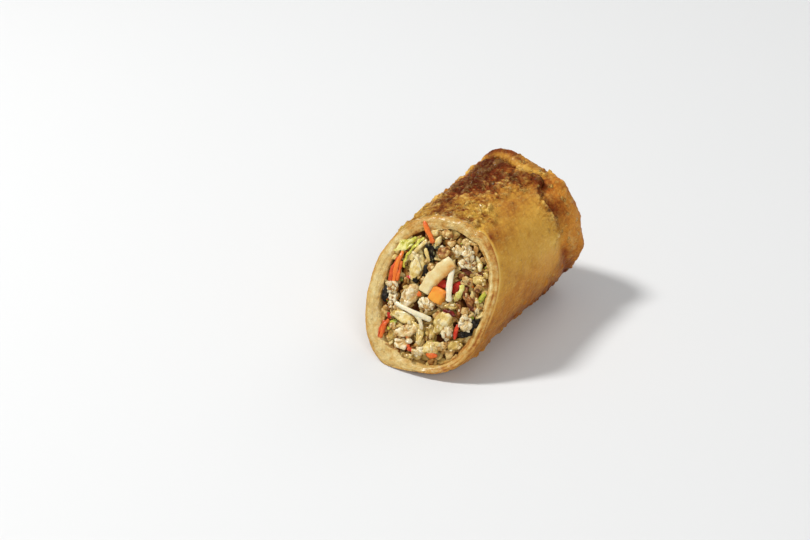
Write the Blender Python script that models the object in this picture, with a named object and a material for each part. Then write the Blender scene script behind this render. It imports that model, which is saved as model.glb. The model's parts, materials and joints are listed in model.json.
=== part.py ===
"""Half of a fried spring roll, cut on a slant: a rolled dough wrapper with a folded end, and the chopped
filling that shows at the cut. It lies along Y with the cut facing -Y, resting on the flat of its underside."""

import math

import bmesh
import bpy
import numpy as np

MM = 0.001

# The roll
ROLL_WIDTH = 42.5 * MM
ROLL_HEIGHT = 43.0 * MM
SECTION_POWER = 2.25  # 2 is an ellipse, more is squarer
REST_SINK = 1.3 * MM  # how much of the round underside is pressed flat
REST_BLEND = 5.0 * MM  # the crust is even below this height
AXIS_HEIGHT = ROLL_HEIGHT / 2 - REST_SINK
HALF_LENGTH = 65.4 * MM  # from the middle of the cut to the folded end
END_DEPTH = 8.0 * MM  # the end rounds over within this length
END_POWER = 2.1
SHOULDER = HALF_LENGTH - END_DEPTH
END_SKIN = 24.0 * MM  # skin length from the shoulder to the end's pole

# The cut
CUT_LEAN = math.radians(33.0)  # its top leans back, away from the eye
CUT_TURN = math.radians(1.7)
RIM_WAVE = 0.3 * MM
LIP_LIFT = 2.2 * MM  # the crust under the cut curls up off the rest
LIP_LENGTH = 4.0 * MM
LIP_SIDE = -64.0  # degrees
LIP_SPREAD = 32.0  # degrees

# The wall of rolled dough: thicker at the lower left, where three turns lie on each other
WALL = 3.5 * MM
WALL_EXTRA = 0.9 * MM
WALL_THICK_SIDE = math.radians(215)
END_WALL = 6.5 * MM
CUP_DEPTH = 6.0 * MM
GAP = 0.3 * MM  # between the wrapper and the filling

# Slow bulges of a hand-rolled piece
LONG_SWELL = 0.35 * MM
LONG_SWELL_REACH = 10.0 * MM
SHORT_SWELL = 0.2 * MM
SHORT_SWELL_REACH = 7.0 * MM

# The free edge of the outermost turn, a low step along the upper right side
FREE_EDGE_SIDE = 66.0  # degrees up from the right side
FREE_EDGE_STEP = 0.8 * MM
FREE_EDGE_SOFT = 2.5  # degrees
FREE_EDGE_FADE = 30.0  # degrees
FREE_EDGE_END = 5.0 * MM  # it fades out within this length before the fold
NOTCH_DEPTH = 0.7 * MM
NOTCH_WIDTH = 4.0  # degrees
NOTCH_LENGTH = 3.0 * MM

# The fold that runs all round near the end: (degrees round, skin length from the middle of the cut)
FOLD = (
    (-90, 60 * MM),
    (-40, 56 * MM),
    (-8, 50 * MM),
    (11, 46.5 * MM),
    (45, 47 * MM),
    (57, 49.5 * MM),
    (66, 56 * MM),
    (74, 53 * MM),
    (82, 52.3 * MM),
    (93, 53 * MM),
    (108, 55.8 * MM),
    (128, 57.8 * MM),
    (160, 61 * MM),
    (200, 62 * MM),
)
FOLD_ROUNDING = 4.0  # degrees over which the corners of that line are rounded off

# Up the left side it is a crease with a raised edge before it
CREASE_SPAN = (64, 165)
CREASE_DEPTH = 1.6 * MM
CREASE_WIDTH = 1.3 * MM
RIDGE_AHEAD = 3.4 * MM
RIDGE_HEIGHT = 0.9 * MM
RIDGE_WIDTH = 2.0 * MM

# Down the right side it is a soft valley, and the dough swells again behind it
VALLEY_SPAN = (-35, 60)
VALLEY_DEPTH = 0.7 * MM
VALLEY_WIDTH = 2.6 * MM
PUFF_BEHIND = 7.0 * MM
PUFF_HEIGHT = 0.9 * MM
PUFF_WIDTH = 3.5 * MM
SPAN_SOFT = 8.0  # degrees over which each stretch fades out past its span

# The tucked flap that stands up behind the crease
LOBE_SIDE = 113.0  # degrees
LOBE_BEHIND = 4.5 * MM
LOBE_HEIGHT = 3.6 * MM
LOBE_SPREAD = 27.0  # degrees
LOBE_LENGTH = 5.5 * MM
LOBE_FOOT = 2.5 * MM

# Knuckles and a dent round the end: (degrees, skin length, height, degrees wide, length)
KNUCKLES = (
    (68, 60 * MM, -1.5 * MM, 10, 4.5 * MM),
    (50, 58.5 * MM, 1.0 * MM, 8, 4.0 * MM),
    (20, 59 * MM, 0.8 * MM, 12, 5.0 * MM),
    (-5, 58 * MM, 1.2 * MM, 10, 5.0 * MM),
)

# The folded end: a spiral tuck round a dimple, over shares of the end's radius
TUCK_TURNS = 2.2
TUCK_DEPTH = 1.0 * MM
TUCK_WIDTH = 0.13
TUCK_INNER_FADE = 0.25
TUCK_OUTER_FADE = 0.15
DIMPLE_DEPTH = 2.4 * MM
DIMPLE_SIZE = 0.25

# The filling at the cut: (across, up the cut, height, size) of its heaps and hollows
FILLING_EDGE = -0.9 * MM  # beside the wall it lies this far behind the cut
FILLING_CROWN = 0.5 * MM  # in the middle it stands this far proud of it
HEAPS = (
    (7.0, 14.4, 1.5, 4.2),
    (-1.0, 15.0, 0.9, 3.2),
    (-8.0, 9.5, 1.0, 4.0),
    (1.5, 7.5, 1.5, 3.2),
    (5.5, 3.0, 1.4, 3.2),
    (-7.2, -1.0, 1.7, 3.8),
    (-13.2, -2.0, 1.0, 2.6),
    (-3.0, -5.5, 1.4, 3.6),
    (7.0, -5.0, 1.3, 3.2),
    (14.4, -4.8, 1.1, 2.8),
    (-4.0, -11.5, 1.2, 3.8),
    (2.5, -15.0, 1.0, 3.4),
    (7.6, 10.2, -1.8, 2.2),
    (-6.6, 4.2, -1.2, 1.6),
    (12.0, 2.5, -0.9, 2.8),
    (9.5, -12.0, -0.8, 2.8),
)

# Facets
COLUMNS = 84
LIP_RINGS = (0, 0.02, 0.045, 0.08)  # shares of the way to the fold
BODY_RINGS = 8
FOLD_RINGS = tuple(past * MM for past in (-8.0, -5.4, -3.4, -2.0, -1.0, 0, 1.0, 2.0, 3.6, 5.6))
END_RINGS = 9
RIM_SHARES = (0.0, 0.35, 0.7, 1.0)
CUP_RINGS = 5
CUP_END_RINGS = 4
FACE_RINGS = 10
SHARP_ANGLE = math.radians(50)


def bump(distance, width):
    return np.exp(-((distance / width) ** 2))


def ease(share):
    """0 to 1 with level ends."""
    share = np.clip(share, 0, 1)
    return share * share * (3 - 2 * share)


def within(turn, span, soft):
    """1 inside a span of degrees, fading to 0 past both its ends."""
    return ease((turn - span[0]) / soft + 1) * ease((span[1] - turn) / soft + 1)


def fold_length(turn):
    """The skin length at which the fold runs, for degrees round the roll."""
    degrees, lengths = zip(*FOLD)
    spread = np.linspace(-FOLD_ROUNDING, FOLD_ROUNDING, 5)
    return np.mean([np.interp(turn + off, degrees, lengths, period=360) for off in spread], axis=0)


def section_radius(angle):
    across = np.abs(np.cos(angle) / (ROLL_WIDTH / 2)) ** SECTION_POWER
    up = np.abs(np.sin(angle) / (ROLL_HEIGHT / 2)) ** SECTION_POWER
    return (across + up) ** (-1 / SECTION_POWER)


def wall_thickness(angle):
    return WALL + WALL_EXTRA * np.cos(angle - WALL_THICK_SIDE)


def cut_place(x, z):
    """Where the cut plane meets a line along the roll."""
    return math.tan(CUT_LEAN) * (z - AXIS_HEIGHT) + math.tan(CUT_TURN) * x


def swell(angle, length):
    """Slow bulges of a hand-rolled piece."""
    long_wave = LONG_SWELL * np.sin(2 * angle + 0.6) * np.sin(length / LONG_SWELL_REACH + 0.4)
    short_wave = SHORT_SWELL * np.sin(5 * angle - 1.0) * np.cos(length / SHORT_SWELL_REACH)
    return long_wave + short_wave


def free_edge(turn, length):
    """The step where the outermost turn ends, with a nick where it meets the cut."""
    off = turn - FREE_EDGE_SIDE
    step = -FREE_EDGE_STEP / 2 * np.tanh(off / FREE_EDGE_SOFT) * np.exp(-np.abs(off) / FREE_EDGE_FADE)
    before_fold = ease((fold_length(turn) - RIDGE_AHEAD - length) / FREE_EDGE_END)
    rim = math.tan(CUT_LEAN) * ROLL_HEIGHT / 2 * math.sin(math.radians(FREE_EDGE_SIDE))
    nick = NOTCH_DEPTH * bump(off, NOTCH_WIDTH) * bump(length - rim, NOTCH_LENGTH)
    return step * before_fold - nick


def end_folds(turn, length):
    """The crease with its raised edge and the flap behind it, and the valley and puffed rim on the right."""
    past = length - fold_length(turn)
    crease = RIDGE_HEIGHT * bump(past + RIDGE_AHEAD, RIDGE_WIDTH) - CREASE_DEPTH * bump(past, CREASE_WIDTH)
    valley = PUFF_HEIGHT * bump(past - PUFF_BEHIND, PUFF_WIDTH) - VALLEY_DEPTH * bump(past, VALLEY_WIDTH)
    lobe = LOBE_HEIGHT * bump(turn - LOBE_SIDE, LOBE_SPREAD) * bump(past - LOBE_BEHIND, LOBE_LENGTH)
    folds = within(turn, CREASE_SPAN, SPAN_SOFT) * crease + within(turn, VALLEY_SPAN, SPAN_SOFT) * valley
    for side, place, height, spread, reach in KNUCKLES:
        folds = folds + height * bump(turn - side, spread) * bump(length - place, reach)
    return folds + lobe * ease(past / LOBE_FOOT)


def skin_radius(angle, length):
    """From the roll's axis to its crust before the end rounds over; the pressed underside stays plain."""
    plain = section_radius(angle)
    turn = np.degrees(angle)
    off_rest = ease((AXIS_HEIGHT + plain * np.sin(angle)) / REST_BLEND)
    return plain + off_rest * (swell(angle, length) + free_edge(turn, length) + end_folds(turn, length))


def end_tuck(angle, share):
    """How far the folded end sinks, at a share of its radius."""
    phase = TUCK_TURNS * share - angle / (2 * math.pi)
    off = phase - np.round(phase)
    fade = ease(share / TUCK_INNER_FADE) * ease((1 - share) / TUCK_OUTER_FADE)
    return TUCK_DEPTH * bump(off, TUCK_WIDTH) * fade + DIMPLE_DEPTH * bump(share, DIMPLE_SIZE)


def ring(angle, radius, place):
    """Points round the axis, pressed flat where they would go below the rest."""
    z = np.maximum(AXIS_HEIGHT + radius * np.sin(angle), 0)
    return np.stack([radius * np.cos(angle), place + 0 * angle, z], axis=-1)


def cut_start(angle, radius):
    """Where the cut meets the lines that run along the roll at a radius."""
    return cut_place(radius * np.cos(angle), AXIS_HEIGHT + radius * np.sin(angle))


def lip_lift(angle, behind_cut):
    """How far the crust curls up under the cut."""
    off = (np.degrees(angle) - LIP_SIDE + 180) % 360 - 180
    return LIP_LIFT * bump(off, LIP_SPREAD) * bump(behind_cut, LIP_LENGTH)


def skin_ring(angle, length):
    """The crust's points at a skin length, which past the shoulder runs over the end to its pole."""
    over = np.clip((length - SHOULDER) / END_SKIN, 0, 1) * math.pi / 2
    share = np.maximum(np.cos(over), 0) ** (2 / END_POWER)
    depth = np.sin(over) ** (2 / END_POWER)
    place = np.minimum(length, SHOULDER) + END_DEPTH * depth - end_tuck(angle, share)
    points = ring(angle, share * skin_radius(angle, length), place)
    points[:, 2] += lip_lift(angle, length - cut_start(angle, section_radius(angle)))
    return points


def outer_rings(angle):
    """The crust, from the cut's edge to beside the end's pole."""
    start = cut_start(angle, section_radius(angle))
    fold = fold_length(np.degrees(angle))
    before = LIP_RINGS + tuple(np.linspace(LIP_RINGS[-1], 1, BODY_RINGS + 1)[1:])
    lengths = [start + share * (fold + FOLD_RINGS[0] - start) for share in before]
    lengths += [fold + past for past in FOLD_RINGS[1:]]
    pole = SHOULDER + END_SKIN
    last = lengths[-1]
    lengths += [last + share * (pole - last) for share in np.linspace(0, 1, END_RINGS + 1)[1:-1]]
    return [skin_ring(angle, length) for length in lengths]


def cup_radius(angle):
    return section_radius(angle) - wall_thickness(angle)


def cup_rings(angle, inset, front):
    """The hollow of the wrapper, or the side of what fills it, from the cut towards the pole of its end."""
    radius = cup_radius(angle) - inset
    shoulder = HALF_LENGTH - END_WALL - CUP_DEPTH
    rings = []
    for share in np.linspace(0, 1, CUP_RINGS):
        start = cut_start(angle, radius) + front
        rings.append(ring(angle, radius, start + share * (shoulder - start)))
    for over in np.linspace(0, math.pi / 2, CUP_END_RINGS + 2)[1:-1]:
        rings.append(ring(angle, math.cos(over) * radius, shoulder + math.sin(over) * (CUP_DEPTH - inset)))
    return rings


def rim_rings(angle):
    """The cut faces of the rolled dough, gently uneven, between the crust and the hollow."""
    rings = []
    for share in RIM_SHARES[1:-1]:
        outer = skin_radius(angle, cut_start(angle, section_radius(angle)))
        radius = outer + share * (cup_radius(angle) - outer)
        wave = RIM_WAVE * np.sin(4 * angle + 5 * share)
        points = ring(angle, radius, cut_start(angle, radius) + wave)
        points[:, 2] += (1 - share) * lip_lift(angle, 0)
        rings.append(points)
    return rings


def heap_height(x, up):
    """How far the filling stands out of the cut plane, from its crown and its heaps and hollows."""
    from_wall = 1 - (x / (ROLL_WIDTH / 2)) ** 2 - (up * math.cos(CUT_LEAN) / (ROLL_HEIGHT / 2)) ** 2
    height = FILLING_EDGE + (FILLING_CROWN - FILLING_EDGE) * ease(from_wall)
    for across, along, rise, size in HEAPS:
        distance = np.hypot(x - across * MM, up - along * MM)
        height = height + rise * MM * bump(distance, size * MM)
    return height


def face_rings(angle, radius):
    """The filling's uneven face, from its edge inwards."""
    rings = []
    for share in np.linspace(1, 0, FACE_RINGS + 1)[1:-1]:
        rings.append(face_point(share * radius * np.cos(angle), share * radius * np.sin(angle)))
    return rings


def face_point(x, rise):
    """A point of the face above (x, rise) on the section, pushed out square to the cut."""
    up = rise / math.cos(CUT_LEAN)
    out = heap_height(x, up)
    place = cut_place(x, rise + AXIS_HEIGHT) - out * math.cos(CUT_LEAN)
    return np.stack([x, place, AXIS_HEIGHT + rise + out * math.sin(CUT_LEAN)], axis=-1)


def closed_skin(name, rings, first_pole, last_pole):
    """One closed mesh through a row of rings, shut by a point at each end."""
    mesh = bmesh.new()
    loops = [[mesh.verts.new(point) for point in points] for points in rings]
    for near, far in zip(loops, loops[1:]):
        for i, vert in enumerate(near):
            after = (i + 1) % len(near)
            mesh.faces.new((vert, near[after], far[after], far[i]))
    for loop, pole in ((loops[0], first_pole), (loops[-1], last_pole)):
        tip = mesh.verts.new(pole)
        for i, vert in enumerate(loop):
            mesh.faces.new((vert, loop[(i + 1) % len(loop)], tip))
    bmesh.ops.recalc_face_normals(mesh, faces=mesh.faces)
    data = bpy.data.meshes.new(name)
    mesh.to_mesh(data)
    mesh.free()
    data.shade_smooth()
    data.set_sharp_from_angle(angle=SHARP_ANGLE)
    node = bpy.data.objects.new(name, data)
    bpy.context.scene.collection.objects.link(node)
    return node


def give_material(node, name, colour, roughness):
    material = bpy.data.materials.new(name)
    material.use_nodes = True
    surface = material.node_tree.nodes["Principled BSDF"]
    surface.inputs["Base Color"].default_value = (*colour, 1)
    surface.inputs["Roughness"].default_value = roughness
    surface.inputs["Metallic"].default_value = 0
    node.data.materials.append(material)


def build_wrapper(angle):
    """The rolled dough: crust, folded end, cut rim and the hollow that the filling fills."""
    end_pole = (0, HALF_LENGTH - DIMPLE_DEPTH, AXIS_HEIGHT)
    cup_pole = (0, HALF_LENGTH - END_WALL, AXIS_HEIGHT)
    rings = outer_rings(angle)[::-1] + rim_rings(angle) + cup_rings(angle, 0, 0)
    wrapper = closed_skin("wrapper", rings, end_pole, cup_pole)
    give_material(wrapper, "fried_dough", (0.42, 0.24, 0.07), 0.5)
    return wrapper


def build_filling(angle):
    """The packed filling, which runs the whole length of the hollow."""
    front = -FILLING_EDGE / math.cos(CUT_LEAN)
    back_pole = (0, HALF_LENGTH - END_WALL - GAP, AXIS_HEIGHT)
    face_pole = face_point(np.float64(0), np.float64(0))
    rings = cup_rings(angle, GAP, front)[::-1] + face_rings(angle, cup_radius(angle) - GAP)
    filling = closed_skin("filling", rings, back_pole, face_pole)
    give_material(filling, "chopped_filling", (0.55, 0.44, 0.25), 0.55)
    return filling


def centre_over_rest(nodes):
    """Moves the meshes so that the origin is the middle of the underside."""
    corners = np.array([vert.co for node in nodes for vert in node.data.vertices])
    low, high = corners.min(axis=0), corners.max(axis=0)
    for node in nodes:
        for vert in node.data.vertices:
            vert.co.x -= (low[0] + high[0]) / 2
            vert.co.y -= (low[1] + high[1]) / 2
            vert.co.z -= low[2]


def main():
    for obj in list(bpy.data.objects):
        bpy.data.objects.remove(obj)
    angle = np.radians(np.linspace(-90, 270, COLUMNS, endpoint=False))
    centre_over_rest([build_wrapper(angle), build_filling(angle)])


main()
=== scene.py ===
"""Looks of half a fried spring roll: blistered crust, rolled dough at the cut, and a chopped filling.

The filling is minced chicken, cabbage, sprouts, carrot, pepper and wood ear. Sizes are in metres, in the
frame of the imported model."""

import json
import math

import bmesh
import bpy
import numpy as np
from bpy.props import FloatProperty, FloatVectorProperty, PointerProperty
from mathutils import Euler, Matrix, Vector

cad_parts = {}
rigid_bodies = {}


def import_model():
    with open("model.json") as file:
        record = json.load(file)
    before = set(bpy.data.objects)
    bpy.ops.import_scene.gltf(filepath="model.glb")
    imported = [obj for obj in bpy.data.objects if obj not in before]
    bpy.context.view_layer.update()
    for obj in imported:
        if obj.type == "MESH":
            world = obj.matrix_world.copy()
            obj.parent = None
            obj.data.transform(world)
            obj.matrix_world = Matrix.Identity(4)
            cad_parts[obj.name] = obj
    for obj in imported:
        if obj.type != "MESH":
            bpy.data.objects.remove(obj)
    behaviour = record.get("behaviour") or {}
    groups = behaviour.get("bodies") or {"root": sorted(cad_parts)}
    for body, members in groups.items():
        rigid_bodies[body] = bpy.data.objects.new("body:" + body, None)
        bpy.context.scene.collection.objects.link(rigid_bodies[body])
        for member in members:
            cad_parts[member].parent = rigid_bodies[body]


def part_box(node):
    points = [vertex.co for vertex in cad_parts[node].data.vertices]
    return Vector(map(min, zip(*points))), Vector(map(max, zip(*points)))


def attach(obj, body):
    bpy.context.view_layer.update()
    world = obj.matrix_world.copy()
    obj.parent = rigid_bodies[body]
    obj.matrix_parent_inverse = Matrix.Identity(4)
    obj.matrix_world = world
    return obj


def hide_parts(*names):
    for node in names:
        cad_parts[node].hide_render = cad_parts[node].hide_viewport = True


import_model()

bl_info = {
    "name": "Fried spring roll half",
    "version": (1, 0, 0),
    "blender": (4, 5, 0),
    "location": "3D View > Sidebar > Spring roll",
    "description": "Builds the crust, cut and filling of half a fried spring roll round its packed model",
    "category": "Add Mesh",
}

MM = 0.001

# The roll, as its construction gives it
ROLL_WIDTH = 42.5 * MM
ROLL_HEIGHT = 43.0 * MM
SECTION_POWER = 2.25
REST_SINK = 1.3 * MM
REST_BLEND = 5.0 * MM
AXIS_HEIGHT = ROLL_HEIGHT / 2 - REST_SINK
HALF_LENGTH = 65.4 * MM
END_DEPTH = 8.0 * MM
END_POWER = 2.1
SHOULDER = HALF_LENGTH - END_DEPTH
END_SKIN = 24.0 * MM
CUT_LEAN = math.radians(33.0)
CUT_TURN = math.radians(1.7)
LIP_LIFT = 2.2 * MM
LIP_LENGTH = 4.0 * MM
LIP_SIDE = -64.0
LIP_SPREAD = 32.0
WALL = 3.5 * MM
WALL_EXTRA = 0.9 * MM
WALL_THICK_SIDE = math.radians(215)
END_WALL = 6.5 * MM
CUP_DEPTH = 6.0 * MM
LONG_SWELL = 0.35 * MM
LONG_SWELL_REACH = 10.0 * MM
SHORT_SWELL = 0.2 * MM
SHORT_SWELL_REACH = 7.0 * MM
FREE_EDGE_SIDE = 66.0
FREE_EDGE_STEP = 0.8 * MM
FREE_EDGE_SOFT = 2.0
FREE_EDGE_FADE = 30.0
FREE_EDGE_END = 5.0 * MM
NOTCH_DEPTH = 0.7 * MM
NOTCH_WIDTH = 4.0
NOTCH_LENGTH = 3.0 * MM
FOLD = (
    (-90, 60 * MM),
    (-40, 56 * MM),
    (-8, 50 * MM),
    (11, 46.5 * MM),
    (45, 47 * MM),
    (57, 49.5 * MM),
    (66, 56 * MM),
    (74, 53 * MM),
    (82, 52.3 * MM),
    (93, 53 * MM),
    (108, 55.8 * MM),
    (128, 57.8 * MM),
    (160, 61 * MM),
    (200, 62 * MM),
)
FOLD_ROUNDING = 4.0
CREASE_SPAN = (64, 165)
CREASE_DEPTH = 1.6 * MM
CREASE_WIDTH = 1.2 * MM
RIDGE_AHEAD = 3.4 * MM
RIDGE_HEIGHT = 0.9 * MM
RIDGE_WIDTH = 2.0 * MM
VALLEY_SPAN = (-35, 60)
VALLEY_DEPTH = 0.7 * MM
VALLEY_WIDTH = 2.6 * MM
PUFF_BEHIND = 7.0 * MM
PUFF_HEIGHT = 0.9 * MM
PUFF_WIDTH = 3.5 * MM
SPAN_SOFT = 8.0
LOBE_SIDE = 113.0
LOBE_BEHIND = 4.5 * MM
LOBE_HEIGHT = 3.6 * MM
LOBE_SPREAD = 27.0
LOBE_LENGTH = 5.5 * MM
LOBE_FOOT = 2.5 * MM
KNUCKLES = (
    (68, 60 * MM, -1.5 * MM, 10, 4.5 * MM),
    (50, 58.5 * MM, 1.0 * MM, 8, 4.0 * MM),
    (20, 59 * MM, 0.8 * MM, 12, 5.0 * MM),
    (-5, 58 * MM, 1.2 * MM, 10, 5.0 * MM),
)
TUCK_TURNS = 2.2
TUCK_DEPTH = 1.0 * MM
TUCK_WIDTH = 0.13
TUCK_INNER_FADE = 0.25
TUCK_OUTER_FADE = 0.15
DIMPLE_DEPTH = 2.4 * MM
DIMPLE_SIZE = 0.25

# The crust's mesh
COLUMNS = 360
SHOWN_SIDE = 60.0  # degrees: the columns stand closest together round this side
SHOWN_CROWDING = 0.3
BODY_RINGS = 118
FOLD_RINGS = 42
FOLD_AHEAD = 8.0 * MM
FOLD_PAST = 6.0 * MM
END_RINGS = 48
RIM_RINGS = 28
INNER_RINGS = 7

# Patches of more or less browning, some of them painted shade: (degrees, skin length mm, degrees wide, mm
# long, amount)
BROWNING = (
    # The first three darken the top where the roll's other half lay against it: partly browning, partly that
    # half's painted shadow.
    (106, 45, 18, 10, 0.40),
    (111, 33, 14, 7, 0.34),
    (112, 22, 13, 7, 0.20),
    (118, 52, 10, 7, 0.08),
    (90, 33, 9, 6, 0.12),
    (72, 50, 6, 4, 0.08),
    (63, 46, 8, 4, 0.08),
    (32, 51, 12, 4, 0.14),
    (10, 61, 30, 4, 0.08),
    (20, 54, 14, 3, -0.06),
    (48, 18, 9, 8, 0.14),
    (-8, 0, 14, 4, 0.12),
    (104, 52, 16, 4.0, 0.20),
    (80, 46, 9, 5, 0.20),
    (128, 38, 18, 14, 0.16),
    (98, 24, 26, 26, 0.06),
    (95, 16, 30, 7, 0.10),
    (76, 48, 14, 5, 0.10),
    (63, 34, 12, 11, 0.20),
    (9, 42, 16, 9, -0.30),
    (5, 14, 14, 12, 0.10),
    (94, 13, 16, 5, 0.12),
    (62, 52, 10, 5, 0.32),
    (42, 48, 10, 4.5, 0.24),
    (22, 47, 14, 4.5, 0.14),
    (-4, 50, 12, 5, 0.12),
    (112, 60, 26, 6, 0.26),
    (121, 56, 11, 5, 0.30),
    (98, 56, 14, 3, 0.08),
    (78, 63, 13, 6, 0.22),
    (45, 60, 12, 5, 0.06),
    (10, 64, 22, 4, 0.08),
    (22, 55, 24, 5, -0.08),
    (-30, 60, 16, 8, 0.12),
    (19, 54, 16, 4, 0.06),
    (-34, 20, 13, 42, 0.24),
    (-46, 48, 12, 16, 0.24),
    (-75, 10, 20, 60, 0.14),
    (-14, 24, 16, 30, 0.14),
    (86, 34, 20, 8, 0.08),
    (57, 8, 7, 10, 0.10),
    (55, 11.5, 4, 3.5, 0.30),
    (-6, 47, 14, 6, 0.12),
    (180, 25, 34, 40, -0.04),
)
BROWNING_BASE = 0.42

BLISTER_HEIGHT = 1.15 * MM

# The layers of dough that show on the cut
TURN_THICK = 1.55 * MM
GROOVE_DEPTH = 0.25 * MM
GROOVE_WIDTH = 0.12
SHEET_STRETCH = 8.0


def bump(distance, width):
    return np.exp(-((distance / width) ** 2))


def ease(share):
    """0 to 1 with level ends."""
    share = np.clip(share, 0, 1)
    return share * share * (3 - 2 * share)


def within(turn, span, soft):
    """1 inside a span, fading to 0 past both its ends."""
    return ease((turn - span[0]) / soft + 1) * ease((span[1] - turn) / soft + 1)


def turn_apart(turn, side):
    """Degrees from a side, the short way round."""
    return (turn - side + 180) % 360 - 180


def lattice(cells, seed):
    """A fixed random share for each cell of a grid."""
    x, y, z = (cells[..., axis] for axis in range(3))
    mixed = (x * 73856093) ^ (y * 19349663) ^ (z * 83492791) ^ (seed * 265443576)
    mixed = ((mixed ^ (mixed >> 13)) * 1274126177) & 0x7FFFFFFF
    mixed = ((mixed ^ (mixed >> 15)) * 668265263) & 0x7FFFFFFF
    return ((mixed ^ (mixed >> 14)) & 0xFFFF) / 65535


def corners_of_cells():
    return np.array([(i, j, k) for i in (0, 1) for j in (0, 1) for k in (0, 1)], dtype=np.int64)


def value_noise(points, size, seed):
    """Smooth random heights from -1 to 1 that change over a size."""
    spot = points / size + 1000.0
    cell = np.floor(spot).astype(np.int64)
    share = ease(spot - cell)
    total = np.zeros(points.shape[:-1])
    for corner in corners_of_cells():
        weight = np.prod(np.where(corner, share, 1 - share), axis=-1)
        total += weight * lattice(cell + corner, seed)
    return 2 * total - 1


def layered_noise(points, size, seed, layers=3):
    total = 0
    for layer in range(layers):
        total = total + value_noise(points, size / 2**layer, seed + 37 * layer) / 2**layer
    return total / (2 - 0.5 ** (layers - 1))


def blebs(points, size, seed, share):
    """Rounded domes from 0 to 1, one in about a share of the cells."""
    spot = points / size + 1000.0
    near = np.floor(spot - 0.5).astype(np.int64)
    height = np.zeros(points.shape[:-1])
    for corner in corners_of_cells():
        cell = near + corner
        centre = cell + 0.5
        for axis in range(3):
            centre[..., axis] += 0.5 * (lattice(cell, seed + 5 * axis) - 0.5)
        radius = 0.3 + 0.2 * lattice(cell, seed + 21)
        apart = np.sum((spot - centre) ** 2, axis=-1) / radius**2
        there = ease((share - lattice(cell, seed + 29)) / 0.12)
        height = np.maximum(height, there * np.clip(1 - apart, 0, 1) ** 0.75 * radius / 0.5)
    return height


def warped(points, size, amount, seed):
    """The points, each moved by up to an amount, so that noise read there loses its roundness."""
    moves = np.stack([value_noise(points, size, seed + axis) for axis in range(3)], axis=-1)
    return points + amount * moves


def puffs(points, size, seed):
    """Packed round hills from 0 to 1 with sharp valleys between."""
    near = np.abs(value_noise(points, size, seed))
    return near * 0.7 + 0.3 * np.abs(value_noise(points, size * 0.47, seed + 1))


def fold_length(turn):
    """The skin length at which the fold runs, for degrees round the roll."""
    degrees, lengths = zip(*FOLD)
    spread = np.linspace(-FOLD_ROUNDING, FOLD_ROUNDING, 5)
    return np.mean([np.interp(turn + off, degrees, lengths, period=360) for off in spread], axis=0)


def section_radius(angle):
    across = np.abs(np.cos(angle) / (ROLL_WIDTH / 2)) ** SECTION_POWER
    up = np.abs(np.sin(angle) / (ROLL_HEIGHT / 2)) ** SECTION_POWER
    return (across + up) ** (-1 / SECTION_POWER)


def wall_thickness(angle):
    return WALL + WALL_EXTRA * np.cos(angle - WALL_THICK_SIDE)


def cup_radius(angle):
    return section_radius(angle) - wall_thickness(angle)


def cut_place(x, z):
    """Where the cut plane meets a line along the roll."""
    return math.tan(CUT_LEAN) * (z - AXIS_HEIGHT) + math.tan(CUT_TURN) * x


def cut_start(angle, radius):
    return cut_place(radius * np.cos(angle), AXIS_HEIGHT + radius * np.sin(angle))


def swell(angle, length):
    """Slow bulges of a hand-rolled piece."""
    long_wave = LONG_SWELL * np.sin(2 * angle + 0.6) * np.sin(length / LONG_SWELL_REACH + 0.4)
    short_wave = SHORT_SWELL * np.sin(5 * angle - 1.0) * np.cos(length / SHORT_SWELL_REACH)
    return long_wave + short_wave


def free_edge(turn, length):
    """The step where the outermost turn ends, with a nick where it meets the cut."""
    rim_off = turn - FREE_EDGE_SIDE
    off = rim_off + 2.5 * np.sin(length / (5.3 * MM)) + 1.5 * np.sin(length / (2.1 * MM))
    step = -FREE_EDGE_STEP / 2 * np.tanh(off / FREE_EDGE_SOFT) * np.exp(-np.abs(off) / FREE_EDGE_FADE)
    step = step * (0.25 + 0.75 * ease((26 * MM - length) / (8 * MM)))
    before_fold = ease((fold_length(turn) - RIDGE_AHEAD - length) / FREE_EDGE_END)
    rim = math.tan(CUT_LEAN) * ROLL_HEIGHT / 2 * math.sin(math.radians(FREE_EDGE_SIDE))
    nick = NOTCH_DEPTH * bump(rim_off, NOTCH_WIDTH) * bump(length - rim, NOTCH_LENGTH)
    return step * before_fold - nick


def end_folds(turn, length):
    """The crease with its raised edge and the flap behind it, and the valley and puffed rim on the right."""
    past = length - fold_length(turn)
    crease = RIDGE_HEIGHT * bump(past + RIDGE_AHEAD, RIDGE_WIDTH) - CREASE_DEPTH * bump(past, CREASE_WIDTH)
    valley = PUFF_HEIGHT * bump(past - PUFF_BEHIND, PUFF_WIDTH) - VALLEY_DEPTH * bump(past, VALLEY_WIDTH)
    lobe = LOBE_HEIGHT * bump(turn - LOBE_SIDE, LOBE_SPREAD) * bump(past - LOBE_BEHIND, LOBE_LENGTH)
    folds = within(turn, CREASE_SPAN, SPAN_SOFT) * crease + within(turn, VALLEY_SPAN, SPAN_SOFT) * valley
    for side, place, height, spread, reach in KNUCKLES:
        folds = folds + height * bump(turn - side, spread) * bump(length - place, reach)
    return folds + lobe * ease(past / LOBE_FOOT)


def skin_radius(angle, length):
    """From the roll's axis to its crust before the end rounds over; the pressed underside stays plain."""
    plain = section_radius(angle)
    turn = np.degrees(angle)
    off_rest = ease((AXIS_HEIGHT + plain * np.sin(angle)) / REST_BLEND)
    return plain + off_rest * (swell(angle, length) + free_edge(turn, length) + end_folds(turn, length))


def end_tuck(angle, share):
    """How far the folded end sinks, at a share of its radius."""
    phase = TUCK_TURNS * share - angle / (2 * math.pi)
    off = phase - np.round(phase)
    fade = ease(share / TUCK_INNER_FADE) * ease((1 - share) / TUCK_OUTER_FADE)
    return TUCK_DEPTH * bump(off, TUCK_WIDTH) * fade + DIMPLE_DEPTH * bump(share, DIMPLE_SIZE)


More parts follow.
